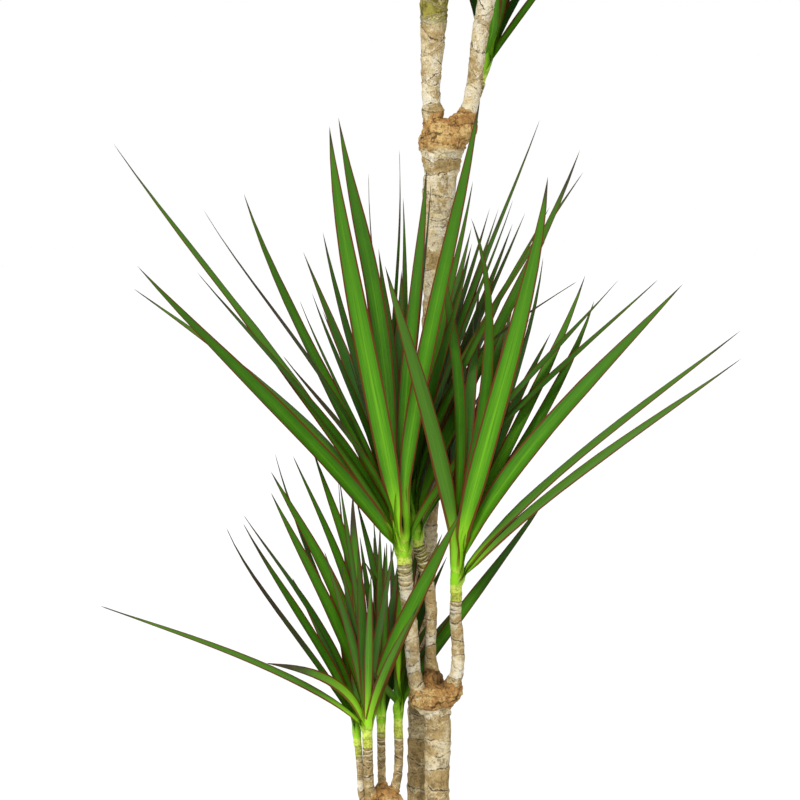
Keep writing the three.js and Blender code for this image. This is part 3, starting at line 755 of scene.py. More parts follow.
def blades(leaves, stations, sizes, seed):
    """
    Leaf blades. A ring of eight points at each station along the midrib: five on the side that is
    seen and three on the other. Near the foot a ring is an arc about the shoot, and further on the
    surface rises from the midrib by the distance to the power 1.5, so that it's folded to a
    channel, which opens towards the tip. On its way a leaf turns about its midrib to where it
    looks. The edges wave a little.
    """
    many = len(leaves["width"])
    radius = leaves["core"][0]
    is_read = leaves["read"] > 0
    outward = leaves["tip"] - leaves["root"]
    reach = np.linalg.norm(outward, axis=1)[:, None]
    outward[:, 2] = 0
    outward = unit(outward)
    centre, along, places, travelled, hug = courses(leaves, stations, outward, reach)
    turn = leaves["turn"]
    look = np.stack([np.sin(turn), -np.cos(turn), np.zeros(many)], -1)
    facing = np.sum(outward * look, 1)
    inward = outward * np.where(facing > 0, 1, -1)[:, None]
    until = np.where(is_read, READ_TURNED_AT, TURNED_AT)[:, None]
    turned = smooth(places, 0.01, until)[..., None]
    face = inward[:, None] * (1 - turned) + look[:, None] * turned
    half = unit(np.cross(along, face))
    out = np.cross(half, along)
    under = np.where(leaves["under"] < 0, (facing > 0) * FILL_UNDER, leaves["under"])
    towards = -np.sign(np.sum(out[:, 0] * outward, 1))[:, None]
    opens = np.sign(0.5 - under)[:, None]
    open_at = np.minimum(CLASP_LENGTH * radius, MOST_CLASP * reach)
    clasp = 1 - smooth(travelled, 0.2 * radius, open_at)
    across = np.array([-1, -0.5, 0, 0.5, 1, 0.5, 0, -0.5])
    side = np.array([0, 1, 1, 1, 0, -1, -1, -1])
    power = TAPER_POWER + BLUNTER * (leaves["read"] * np.cos(turn) ** 2)[:, None]
    wide = blade_width(places, power) * leaves["width"][:, None] / 2
    wrap = 1 - smooth(travelled, 0, np.minimum(WRAP_LENGTH * radius, MOST_WRAP * reach))
    wide = wide + np.maximum(FOOT_WRAP * hug[:, None] - wide, 0) * wrap
    least = np.where(is_read, READ_LEAST_HALF, LEAST_HALF)[:, None]
    wide = np.maximum(wide, least * (1 - 0.3 * smooth(places, 0.9, 1.0)))
    bend = np.maximum(clasp / hug[:, None], 1e-5)[:, :, None]
    arc = wide[:, :, None] * across * bend
    aside = np.sin(arc) / bend
    hollow = (1 - np.cos(arc)) / bend * towards[..., None]
    fold = sizes.channel * (1 - clasp) * opens
    fold = fold * (ROOT_FOLD - FOLD_LOST * smooth(places, 0.2, 0.95))
    fold = (fold * wide)[..., None] * np.abs(across) ** 1.5
    thick = sizes.leaf_thickness / MM * (1 - EDGE_THINNER * np.abs(across)) * side / 2
    thick = thick * np.minimum(wide / THINNER_UNDER, 1)[..., None]
    elsewhere = leaves["number"][:, None, None] * 37.0
    waves = grain(centre + elsewhere, RIPPLE_LENGTH, seed)
    ripple = RIPPLE * (waves * (1 - clasp) * wide)[..., None] * across
    lift = hollow + fold + ripple + thick
    grid = centre[:, :, None] + half[:, :, None] * aside[..., None] + out[:, :, None] * lift[..., None]
    points, quads, tris = shells(grid, grid[:, 0].mean(1), leaves["tip"])
    size = (many, centre.shape[1], len(across))
    shade = np.where(side < 0, 1 - under[:, None, None], under[:, None, None])
    shade = shade * np.where(is_read, 1, FILL_UNDERSIDE)[:, None, None]
    along_it = on_points(places[:, :, None], *size).reshape(many, -1)
    along_it[:, -1] = 1
    values = {
        "across": on_points((across[None, None] + 1) / 2, *size),
        "along": along_it.ravel(),
        "tone": on_points(leaves["tone"][:, None, None], *size),
        "dry": on_points(leaves["dry"][:, None, None], *size),
        "under": on_points(shade, *size),
        "wide": on_points(wide[..., None], *size),
        "far": on_points(travelled[..., None], *size),
        "rim": on_points(np.abs(across)[None, None] == 1, *size),
    }
    return points, quads, tris, values


def shoot_width(up, place):
    """A shoot's width, as a share of its greatest, at a height in radii and as a share of it."""
    return 0.87 + 0.12 * smooth(up, 0, 1.4) - place * (1 - SHOOT_TIP) * 0.9


def shoot(crown):
    """
    The round stem that the leaves grow on, for the part of its height that can be seen. Its rings
    widen from the bark's width by a smooth step and narrow where the leaves hide them. The pale
    collar is a band just above the bark: the place along a leaf, which the finish reads, is below 0
    there.
    """
    radius, height = crown["core"]
    rows, around = SHOOT_MESH
    axis = unit(np.array([crown["lean"], 0, 1]))
    top = SHOOT_SHOWN * height
    up = np.concatenate([np.linspace(-SHOOT_SUNK, 9, 16), np.linspace(9, top, rows - 15)[1:]])
    up = up[:, None]
    angle = circle(around)[None]
    fresh = smooth(up, -4.0, -3.0) * (1 - smooth(up, 1.0, 7.0))
    wide = radius * shoot_width(up / radius, np.maximum(up, 0) / height)
    wide = wide * (1 - 0.6 * smooth(up, 0.6 * top, top))
    wide = wide * (1 + 0.03 * np.sin(2 * angle + radius) - 0.02 * np.abs(np.sin(up * 1.1 + angle)))
    foot = as_seen(crown["at"])
    ring = np.stack([np.cos(angle), np.sin(angle), np.zeros_like(angle)], -1)
    grid = foot + axis * up[..., None] + ring * wide[..., None]
    ends = (foot + axis * high for high in (-SHOOT_SUNK, top + 1))
    points, quads, tris = shells(grid[None], *(end[None] for end in ends))
    size = (1, rows, around)
    none = on_points(0 * up[None], *size)
    values = {
        "across": on_points(angle[None] / (2 * np.pi), *size),
        "along": on_points(-0.02 - 0.1 * fresh[None], *size),
        "tone": none + 0.8,
        "dry": none + 0.05,
        "under": none,
        "wide": none + radius,
        "far": on_points(2 * np.maximum(up, 0)[None], *size),
        "rim": none,
    }
    return points, quads, tris, values


# ---- Bark and callus ----


def stem_line(rows, step):
    """
    A cubic curve through rows of [x as seen, height, depth, radius]: how far along it are even
    steps, and the point and radius at each of them.
    """
    rows = np.asarray(rows, float)
    knots = as_seen(rows[:, :3])
    far = np.concatenate([[0], np.cumsum(np.linalg.norm(np.diff(knots, axis=0), axis=1))])
    state = np.column_stack([knots, rows[:, 3]])
    slopes = np.gradient(state, far, axis=0)
    s = np.linspace(0, far[-1], max(int(far[-1] / step), 4))
    k = np.clip(np.searchsorted(far, s, side="right") - 1, 0, len(far) - 2)
    gap = (far[k + 1] - far[k])[:, None]
    t = (s - far[k])[:, None] / gap
    line = (
        (1 + 2 * t) * (1 - t) ** 2 * state[k]
        + t * (1 - t) ** 2 * gap * slopes[k]
        + t**2 * (3 - 2 * t) * state[k + 1]
        + t**2 * (t - 1) * gap * slopes[k + 1]
    )
    return s, line[:, :3], line[:, 3]


def scars_along(total, radius, angle, spacing, dip, seed):
    """
    How far along a stem its leaf scars are at each angle, and rows of [distance, pitch] for them.
    Scar k dips by a cosine of the angle on one side, a golden angle on from scar k - 1, by a small
    cosine of three times the angle, and in front and behind by one of twice the angle. The
    spacing is how far apart they are at the top and further down, and how far down it opens out.
    """
    close, wide, reach = spacing
    draw = np.random.default_rng(seed + 40)
    marks, down = [], 0.4 * close
    while down < total + wide:
        pitch = close + (wide - close) * float(smooth(down, 0, reach))
        marks.append((total - down, pitch))
        down += pitch * draw.uniform(0.6, 1.4)
    marks = np.array(marks[::-1])
    turn = np.arange(len(marks)) * GOLDEN_ANGLE + seed
    low_side = dip * np.cos(angle[None] - turn[:, None])
    low_side = low_side + 0.05 * np.cos(3 * angle[None] + turn[:, None])
    bow = -0.12 * radius * np.cos(2 * angle)[None]
    return np.sort(marks[:, :1] - low_side * marks[:, 1:] - bow, axis=0), marks


def tube(rows, around, step, spacing, young, seed, dip=0.22):
    """
    A stem along rows of [x as seen, height, depth, radius], whose radius swells under each leaf
    scar by the square of the way there, and by noise. Four values are kept for the finish: the
    number of the scar below each point with the share of the way to the next, the share of the
    pitch that a scar takes, and the youth and brownness of the bark, which young gives as in
    STEM_BARK.
    """
    s, centre, radius = stem_line(rows, step)
    total = s[-1]
    along = unit(np.gradient(centre, s, axis=0))
    outward = ways_out(along, around)
    scars, marks = scars_along(total, float(radius[-1]), circle(around), spacing, dip, seed)
    below = (scars[None] <= s[:, None, None]).sum(1)
    low = np.take_along_axis(scars, np.clip(below - 1, 0, len(scars) - 2), 0)
    high = np.take_along_axis(scars, np.clip(below, 1, len(scars) - 1), 0)
    part = np.clip((s[:, None] - low) / np.maximum(high - low, 1e-6), 0, 1)
    pitch = np.interp(s, marks[:, 0], marks[:, 1])[:, None]
    step_out = np.minimum(pitch * 0.07 + 0.2, 0.8) * np.minimum(radius / 9, 1)[:, None]
    bumps = step_out * (part**2 * (1 - part**12) * 1.6 - 0.45)
    flat = centre[:, None] + outward * radius[:, None, None]
    rough = 0.35 * grain(flat, 5.0, seed) + 0.55 * grain(flat, 17.0, seed + 1)
    rough += 0.16 * grain(flat, 2.2, seed + 2)
    grid = flat + outward * (bumps + rough * np.minimum(radius / 11, 1)[:, None])[..., None]
    ends = centre[:1] - along[:1] * 0.5, centre[-1:] + along[-1:] * 2.2
    points, quads, tris = shells(grid[None], *ends)
    size = (1, len(s), around)
    age = 1 - smooth(total - s, young[0], young[1])
    brown = young[3] * (1 - young[4] * smooth(s / total, 0.50, 0.92))
    values = {
        "ring": on_points((below + part)[None], *size),
        "scar": on_points((0.6 / pitch)[None], *size),
        "young": on_points((age * young[2])[None, :, None], *size),
        "brown": on_points(brown[None, :, None], *size),
        "cork": np.zeros(len(points)),
        "crack": np.zeros(len(points)),
    }
    return points, quads, tris, values


def skin(shapes, cell, rounds):
    """One skin round closed surfaces that overlap: in cells of one size, then smoothed."""
    points, quads, tris, _ = gathered([(*shape[:3], {}) for shape in shapes])
    piece = plain("lumps", points, quads, tris)
    cells = piece.modifiers.new("cells", "REMESH")
    cells.mode = "VOXEL"
    cells.voxel_size = cell * MM
    even = piece.modifiers.new("even", "SMOOTH")
    even.iterations = rounds
    even.factor = 0.6
    made = worked(piece)
    bpy.data.objects.remove(piece)
    corners = rows_of(made.loops, "vertex_index", kind=np.int32)
    counts = rows_of(made.polygons, "loop_total", kind=np.int32)
    starts = np.cumsum(counts) - counts
    quads = corners[starts[counts == 4][:, None] + np.arange(4)]
    tris = corners[starts[counts == 3][:, None] + np.arange(3)]
    if len(quads) + len(tris) < len(counts):
        raise RuntimeError("The lumps have faces of more than four sides")
    points, normals = (rows_of(made.vertices, key, 3) for key in ("co", "normal"))
    return points / MM, normals, quads, tris


def collar(first, last, grown):
    """
    Rings between two rows of [x as seen, height, depth, radius]. Each of grown is the place of one,
    from 0 at the first row to 1 at the last, and how much wider it is.
    """
    first, last = np.array(first, float), np.array(last, float)
    rows = np.array([first + (last - first) * place for place, _ in grown])
    centre = as_seen(rows[:, :3])
    outward = ways_out(unit(np.gradient(centre, axis=0)), 24)
    wide = rows[:, 3] + np.array([wider for _, wider in grown])
    grid = centre[:, None] + outward * wide[:, None, None]
    return (*shells(grid[None], centre[:1], centre[-1:]), {})


def lump(row):
    """A ball with half axes wide, deep and high."""
    x, z, depth, wide, deep, high = row
    tall = np.linspace(0, np.pi, 18)[1:-1][:, None]
    angle = circle(28)[None]
    level = np.sin(tall)
    ball = np.stack([level * np.cos(angle), level * np.sin(angle), -np.cos(tall) + 0 * angle], -1)
    centre = as_seen([x, z, depth])
    grid = centre + ball * np.array([wide, deep, high])
    ends = centre + np.array([[0, 0, -high], [0, 0, high]])
    return (*shells(grid[None], ends[:1], ends[1:]), {})


# ---- Pot and soil ----


def turned(outline, around, wave=None):
    """A surface turned about the pot's axis from an outline of [radius, height] points."""
    outline = np.asarray(outline, float)
    angle = circle(around)[None, :, None]
    radius, height = outline[:, None, :1], outline[:, None, 1:]
    grid = np.concatenate([radius * np.cos(angle), radius * np.sin(angle), height + 0 * angle], -1)
    if wave is not None:
        grid = wave(grid)
    ends = [[[0, 0, outline[0, 1]]], [[0, 0, grid[-1, :, 2].mean()]]]
    return (*shells(grid[None], np.array(ends[0]), np.array(ends[1])), {})


def eased(outline, radii, steps=5):
    """An outline whose corners are rounded: each is a quadratic Bezier curve as long as its radius."""
    outline = np.asarray(outline, float)
    made = [outline[:1]]
    for before, corner, after, radius in zip(outline, outline[1:], outline[2:], radii):
        if not radius:
            made.append(corner[None])
            continue
        t = np.linspace(0, 1, steps)[:, None]
        a = corner + unit(before - corner) * radius
        b = corner + unit(after - corner) * radius
        made.append(a * (1 - t) ** 2 + 2 * corner * t * (1 - t) + b * t**2)
    made.append(outline[-1:])
    return np.concatenate(made)


def pot_inside(sizes, height):
    """Half of the pot's inner width at a height."""
    top, base, tall = (value / MM for value in (sizes.pot_top, sizes.pot_base, sizes.pot_height))
    return base + (top - base) * height / tall - POT_WALL


def soil_top(sizes, places):
    """How high the soil is at rows of [x, y]: a low mound, with lumps of two sizes."""
    level = sizes.soil_level / MM
    flat = np.concatenate([places, np.zeros((*places.shape[:-1], 1))], -1)
    away = np.linalg.norm(places, axis=-1) / pot_inside(sizes, level)
    mound = level - SOIL_MOUND * smooth(away, 0.5, 1.0)
    return mound + 1.6 * grain(flat, 14.0, 31) + 1.1 * grain(flat, 5.0, 32)


def chips(sizes, count, seed, long, flat, deep):
    """
    Scattered crumbs on the soil: each is a box of eight corners, squashed, with its corners moved
    at random, turned and tilted. It lies on the soil, or is sunk in it where it's thicker.
    """
    draw = np.random.default_rng(seed)
    inside = pot_inside(sizes, sizes.soil_level / MM) - 7
    away = inside * np.sqrt(draw.random(count))
    angle = 2 * np.pi * draw.random(count)
    centre = np.stack([away * np.cos(angle), away * np.sin(angle)], -1)
    size = long[0] + (long[1] - long[0]) * draw.random(count) ** 2
    stretch = np.stack([size, size * flat * (0.7 + 0.6 * draw.random(count)), size * deep], -1) / 2
    square = np.array([[-1, -1], [1, -1], [1, 1], [-1, 1]], float)
    box = np.stack([np.column_stack([square, np.full(4, z)]) for z in (-1.0, 1.0)])
    box = box[None] * (0.75 + 0.5 * draw.random((count, 2, 4, 1))) * stretch[:, None, None]
    spin, tilt = 2 * np.pi * draw.random(count), 0.7 * (draw.random(count) - 0.5)
    c, s, ct, st = (f(a)[:, None, None] for a in (spin, tilt) for f in (np.cos, np.sin))
    x, z = box[..., 0] * ct + box[..., 2] * st, box[..., 2] * ct - box[..., 0] * st
    grid = np.stack([x * c - box[..., 1] * s, x * s + box[..., 1] * c, z], -1)
    high = soil_top(sizes, centre) + 0.15 * size
    grid += np.column_stack([centre, high])[:, None, None]
    ends = grid.mean(2)
    points, quads, tris = shells(grid, ends[:, 0], ends[:, 1])
    tint = np.repeat(draw.random(count), 10)
    return points, quads, tris, {"tint": tint}


# ---- Finishes ----


def add(tree, kind, sockets=None, **settings):
    """Adds a node; a socket is given a value, or another node's output."""
    made = tree.nodes.new(kind)
    for key, value in settings.items():
        setattr(made, key, value)
    for key, value in (sockets or {}).items():
        if isinstance(value, bpy.types.NodeSocket):
            tree.links.new(value, made.inputs[key])
        else:
            made.inputs[key].default_value = value
    return made


def maths(operation, *values, clamp=False):
    """The outcome of an operation on values, one of which at least is another node's output."""
    tree = next(value.id_data for value in values if isinstance(value, bpy.types.NodeSocket))
    sockets = dict(enumerate(values))
    return add(tree, "ShaderNodeMath", sockets, operation=operation, use_clamp=clamp).outputs[0]


times = partial(maths, "MULTIPLY")
scaled = partial(maths, "MULTIPLY_ADD")  # the first by the second, plus the third
less = partial(maths, "SUBTRACT")
most = partial(maths, "MAXIMUM")


def ramp(value, low, high, start=0.0, end=1.0):
    """A value's way from low to high as start to end, smoothly."""
    sockets = {"Value": value, "From Min": low, "From Max": high, "To Min": start, "To Max": end}
    made = add(value.id_data, "ShaderNodeMapRange", sockets, interpolation_type="SMOOTHSTEP")
    return made.outputs["Result"]


def mixed(factor, a, b):
    """Colour a, covered with colour b by a factor."""
    sockets = {0: factor, 6: rgba(a), 7: rgba(b)}
    return add(factor.id_data, "ShaderNodeMix", sockets, data_type="RGBA").outputs[2]


def rgba(value):
    return value if isinstance(value, bpy.types.NodeSocket) else (*value, 1.0)


def shaded(tint, amount):
    """A colour made darker, or brighter by an amount above 1."""
    return [amount * value for value in tint]


def noise(vector, scale, detail=3.0, stretch=None, roughness=0.6):
    tree = vector.id_data
    if stretch:
        vector = add(tree, "ShaderNodeMapping", {"Vector": vector, "Scale": stretch}).outputs[0]
    sockets = {"Vector": vector, "Scale": scale, "Detail": detail, "Roughness": roughness}
    return add(tree, "ShaderNodeTexNoise", sockets).outputs["Fac"]


def values_of(tree, *names):
    """The values that put() keeps at the points of a mesh, one for each name."""
    return (add(tree, "ShaderNodeAttribute", attribute_name=name).outputs["Fac"] for name in names)


def finish_of(name, roughness, specular):
    """A new material with nothing but its shader: the material, its tree and Object coordinates."""
    old = bpy.data.materials.get(name)
    if old:
        bpy.data.materials.remove(old)
    made = bpy.data.materials.new(name)
    made.use_nodes = True
    tree = made.node_tree
    inputs = tree.nodes["Principled BSDF"].inputs
    inputs["Roughness"].default_value = roughness
    inputs["Specular IOR Level"].default_value = specular
    return made, tree, add(tree, "ShaderNodeTexCoord").outputs["Object"]


def painted(made, tint, height=None, distance=0.0, strength=1.0, roughness=None):
    """The material with its colour and, where they're given, with relief and its own roughness."""
    tree = made.node_tree
    inputs = tree.nodes["Principled BSDF"].inputs
    tree.links.new(tint, inputs["Base Color"])
    if roughness is not None:
        tree.links.new(roughness, inputs["Roughness"])
    if height is not None:
        sockets = {"Height": height, "Distance": distance, "Strength": strength}
        tree.links.new(add(tree, "ShaderNodeBump", sockets).outputs[0], inputs["Normal"])
    return made


def leaf_finish(c):
    """
    A leaf: green by its brightness, which is partly the darker green of older leaves and partly
    painted shade, low for a leaf in shadow inside a crown. A painted highlight runs down the
    middle as a bright stripe that is strongest near the foot, and as a fine line at the midrib.
    There are fine lengthwise veins and a more olive outer half. The underside is paler. The foot
    is lime, and further out the brighter the leaf is, so that a dark leaf's foot stays dark as
    painted shade among the others. The margins are thin and red-brown, wider towards the foot,
    where they stand for painted shadow as well, but faint where a dark leaf's foot is in that
    painted shade. The tip is dry, and the collar under the leaves is pale lime.
    """
    made, tree, space = finish_of("leaf_green_with_red_margins", 0.45, 0.12)
    uv = add(tree, "ShaderNodeUVMap", uv_map="blade").outputs[0]
    side, along = add(tree, "ShaderNodeSeparateXYZ", {0: uv}).outputs[:2]
    across = maths("ABSOLUTE", scaled(side, 2.0, -1.0))
    tone, dry, under, wide, far = values_of(tree, "tone", "dry", "under", "wide", "far")
    clouds = noise(space, 55.0)
    bands = add(tree, "ShaderNodeCombineXYZ", {0: side, 1: along, 2: tone}).outputs[0]
    veins = noise(bands, 14.0, 3.0, (2.6, 0.4, 3.0))
    fibres = noise(bands, 60.0, 2.0, (4.0, 0.12, 3.0))
    # painted shade and light: how lit a leaf is painted, from its brightness with some noise
    lit = scaled(clouds, 0.34, less(tone, 0.17), clamp=True)
    green = mixed(lit, c.leaf_deep, c.leaf_green)
    # painted highlight: a bright stripe down the middle, where the ridge of the channel catches the
    # light
    stripe = times(ramp(across, 0.85, 0.15), ramp(along, 0.95, 0.1, 0.30, 1.0))
    green = mixed(times(stripe, lit), green, c.leaf_painted_highlight)
    green = mixed(ramp(veins, 0.42, 0.62, 0.0, 0.42), green, c.leaf_deep)
    green = mixed(ramp(fibres, 0.48, 0.64, 0.0, 0.35), green, c.leaf_deep)
    # painted highlight: a fine bright line along the midrib
    rib = times(ramp(across, 0.11, 0.02), ramp(along, 0.8, 0.2, 0.1, 0.5))
    green = mixed(times(rib, lit), green, shaded(c.leaf_painted_highlight, 1.35))
    green = mixed(ramp(along, 0.48, 0.95, 0.0, 0.6), green, (0.036, 0.094, 0.006))
    # painted shade on the underside too: darker for a leaf of low brightness
    pale = mixed(tone, shaded(c.leaf_under, 0.45), c.leaf_under)
    pale = mixed(ramp(veins, 0.40, 0.62, 0.0, 0.30), pale, c.leaf_deep)
    green = mixed(times(under, 0.8), green, pale)
    # painted shade among the feet: the lime foot reaches further on a brighter leaf, and a dark leaf's
    # foot stays dark green
    outer = most(ramp(tone, 0.45, 0.85, 0.1, 0.95), times(under, 0.85))
    foot = most(times(ramp(far, 85.0, 4.0), outer), ramp(far, 20.0, 4.0, 0.0, 0.95))
    green = mixed(foot, green, c.leaf_base)
    # the margin widens towards the foot: its own red-brown, with painted shadow along it there
    inner = less(ramp(far, 110.0, 15.0, 0.85, 0.66), maths("DIVIDE", 0.55, wide))
    edge = scaled(clouds, 0.08, less(across, most(inner, 0.60)))
    # painted shade: a dark leaf's foot is left as a shaded gap among the others' feet, with its margin
    # faded
    foot_in_painted_shade = times(ramp(far, 70.0, 25.0), less(1.0, outer))
    strength = times(ramp(along, 0.0, 0.06, 0.3, 0.95), less(1.0, foot_in_painted_shade))
    green = mixed(times(ramp(edge, 0.02, 0.10), strength), green, c.leaf_margin)
    tip = maths("DIVIDE", less(1.0, along), most(dry, 0.01))
    green = mixed(ramp(scaled(clouds, 0.6, tip), 1.45, 0.75), green, c.leaf_dry)
    speck = mixed(ramp(noise(space, 420.0), 0.45, 0.6), (0.50, 0.60, 0.09), (0.27, 0.36, 0.04))
    collar = most(ramp(along, -0.02, -0.10), ramp(far, 8.0, 0.5, 0.0, 0.85))
    green = mixed(collar, green, speck)
    return painted(made, green, veins, 0.0004, 0.5, ramp(clouds, 0.3, 0.7, 0.38, 0.52))


def bark_finish(c):
    """
    Bark: each internode in its own tint, grey-white or tan, under blots, crusts, fine wrinkles and
    small dark pits. A broken brown line marks each scar, with a cream lip that is partly the scar's
    pale rim and partly painted highlight, and thin cream threads wander across; where the scars
    are close they're cream lines with painted brown shadows between. Young bark is olive, with a
    net of pale scars, and the freshest is yellow-green. Cork is an orange-tan crumb, its cracks
    darkened with painted shade.
    orange-tan crumb with dark cracks.
    """
    made, tree, space = finish_of("bark_with_leaf_scars", 0.85, 0.12)
    ring, scar, young, brown = values_of(tree, "ring", "scar", "young", "brown")
    cork, crack = values_of(tree, "cork", "crack")
    patches = noise(space, 58.0, 8.0, (1.0, 1.0, 0.8), 0.72)
    blots = noise(space, 150.0, 6.0, (1.0, 1.0, 0.8), 0.72)
    crust = noise(space, 88.0, 9.0, (1.0, 1.0, 0.8), 0.78)
    wrinkles = noise(space, 120.0, 6.0, (1.0, 1.0, 3.6), 0.7)
    fine = noise(space, 520.0, 5.0, None, 0.75)
    dark = shaded(c.bark_tan, 0.42)
    close = ramp(scar, 0.07, 0.15)
    apart = ramp(close, 1.0, 0.0)
    wavy = scaled(times(less(crust, 0.5), scar), scaled(close, -12.0, 20.0), ring)
    level = maths("FLOOR", wavy)
    tint = add(tree, "ShaderNodeTexWhiteNoise", {"W": level}, noise_dimensions="1D").outputs[0]
    tint = ramp(tint, 0.35, 0.65, -0.5, 0.5)
    mix = scaled(brown, 0.13, scaled(tint, 0.15, patches))
    wood = mixed(ramp(mix, 0.44, 0.60), c.bark_pale, c.bark_tan)
    wood = mixed(ramp(scaled(brown, 0.10, blots), 0.52, 0.66, 0.0, 0.80), wood, dark)
    white = scaled(tint, -0.10, less(crust, times(brown, 0.09)))
    chalk = mixed(brown, (0.80, 0.75, 0.60), (0.50, 0.40, 0.24))
    wood = mixed(ramp(white, 0.50, 0.60, 0.0, 0.75), wood, chalk)
    wood = mixed(ramp(wrinkles, 0.53, 0.66, 0.0, 0.40), wood, dark)
    wood = mixed(ramp(fine, 0.54, 0.66, 0.0, 0.75), wood, c.bark_scar)
    green = mixed(ramp(blots, 0.4, 0.6), (0.34, 0.30, 0.060), (0.13, 0.105, 0.020))
    wood = mixed(ramp(young, 0.0, 1.0), wood, green)
    part = maths("FRACT", wavy)
    # painted shadow: dark brown in the hollow between close scars
    hollow = times(ramp(part, 0.0, 0.12), ramp(part, 0.5, 0.2))
    hollow = times(hollow, ramp(crust, 0.44, 0.54))
    rings = mixed(hollow, wood, shaded(c.bark_tan, 0.22))
    cream = times(ramp(part, 0.55, 0.80), ramp(part, 1.0, 0.88))
    cream = times(cream, ramp(blots, 0.38, 0.54))
    rings = mixed(cream, rings, (0.82, 0.74, 0.46))
    wood = mixed(times(close, 0.9), wood, rings)
    near = maths("DIVIDE", less(0.5, maths("ABSOLUTE", less(part, 0.5))), scar)
    broken = most(ramp(blots, 0.45, 0.56, 0.10, 1.0), close)
    line = times(ramp(near, 1.1, 0.25), ramp(close, 1.0, 0.2, 0.25, 1.0))
    line = times(line, broken)
    mark = mixed(times(ramp(young, 0.3, 0.9), apart), c.bark_scar, (0.60, 0.53, 0.20))
    wood = mixed(times(line, 0.78), wood, mark)
    # partly painted highlight: a cream band along each scar line, which is also the scar's pale rim
    lip = times(ramp(near, 0.8, 1.3), ramp(near, 3.0, 1.5))
    lip = times(times(lip, broken), apart)
    wood = mixed(times(lip, 0.50), wood, (0.74, 0.64, 0.42))
    lime = mixed(ramp(fine, 0.42, 0.60), (0.58, 0.64, 0.10), (0.30, 0.34, 0.04))
    wood = mixed(ramp(young, 1.0, 1.8), wood, lime)
    thread = maths("FRACT", scaled(patches, 2.4, times(ring, 0.45)))
    thread = ramp(maths("ABSOLUTE", less(thread, 0.5)), 0.045, 0.015)
    thread = times(thread, ramp(close, 1.0, 0.0, 0.0, 0.65))
    wood = mixed(thread, wood, (0.80, 0.68, 0.42))
    tone = scaled(brown, 0.18, scaled(blots, 0.5, times(patches, 0.5)))
    crumb = mixed(ramp(tone, 0.44, 0.54), (0.62, 0.42, 0.165), c.callus)
    crumb = mixed(ramp(tone, 0.54, 0.66, 0.0, 0.85), crumb, shaded(c.callus, 0.42))
    crumb = mixed(ramp(fine, 0.50, 0.62, 0.0, 0.75), crumb, shaded(c.callus, 0.30))
    # painted shade: the crumb darkened in its cracks
    crumb = mixed(ramp(crack, 0.3, 0.8, 0.0, 0.85), crumb, shaded(c.callus, 0.20))
    ragged = scaled(less(crust, 0.5), 1.6, cork)
    wood = mixed(ramp(ragged, 0.40, 0.56), wood, crumb)
    height = scaled(wrinkles, 0.8, scaled(fine, 0.6, times(blots, 0.9)))
    return painted(made, wood, less(height, times(line, 0.6)), 0.0022)


def pot_finish(c):
    """Matt dark plastic with a fine moulded grain, faint scuffs and dust towards the floor."""
    made, tree, space = finish_of("pot_matt_plastic", 0.55, 0.4)
    height = add(tree, "ShaderNodeSeparateXYZ", {0: space}).outputs[2]
    moulded = noise(space, 900.0, 2.0)
    scuffs = noise(space, 22.0, 8.0, (1.0, 1.0, 3.0), 0.75)
    dust = times(ramp(scuffs, 0.45, 0.72), ramp(height, 0.20, 0.0, 0.07, 0.36))
    tint = mixed(dust, c.pot, (0.20, 0.18, 0.16))
    return painted(made, tint, moulded, 0.0002, 0.35, ramp(scuffs, 0.3, 0.7, 0.46, 0.66))


def soil_finish(c):
    """Potting mix: dark crumbs with lighter fibres."""
    made, _, space = finish_of("soil_potting_mix", 0.95, 0.2)
    crumbs = noise(space, 260.0, 8.0, None, 0.8)
    fibres = noise(space, 130.0, 6.0, (3.0, 0.5, 1.0), 0.7)
    mix = mixed(ramp(crumbs, 0.35, 0.65), shaded(c.soil, 0.4), c.soil)
    mix = mixed(ramp(fibres, 0.58, 0.72, 0.0, 0.7), mix, shaded(c.soil, 3.2))
    return painted(made, mix, crumbs, 0.003)


def chip_finish(name, low, high):
    """Crumbs of one kind, each in its own tint, with a fibrous grain."""
    made, tree, space = finish_of(name, 0.9, 0.25)
    fibres = noise(space, 420.0, 5.0, (1.0, 0.4, 1.0), 0.7)
    (tint,) = values_of(tree, "tint")
    tint = scaled(fibres, 0.5, times(tint, 0.6))
    return painted(made, mixed(tint, low, high), fibres, 0.001, 0.8)


# ---- Operators ----


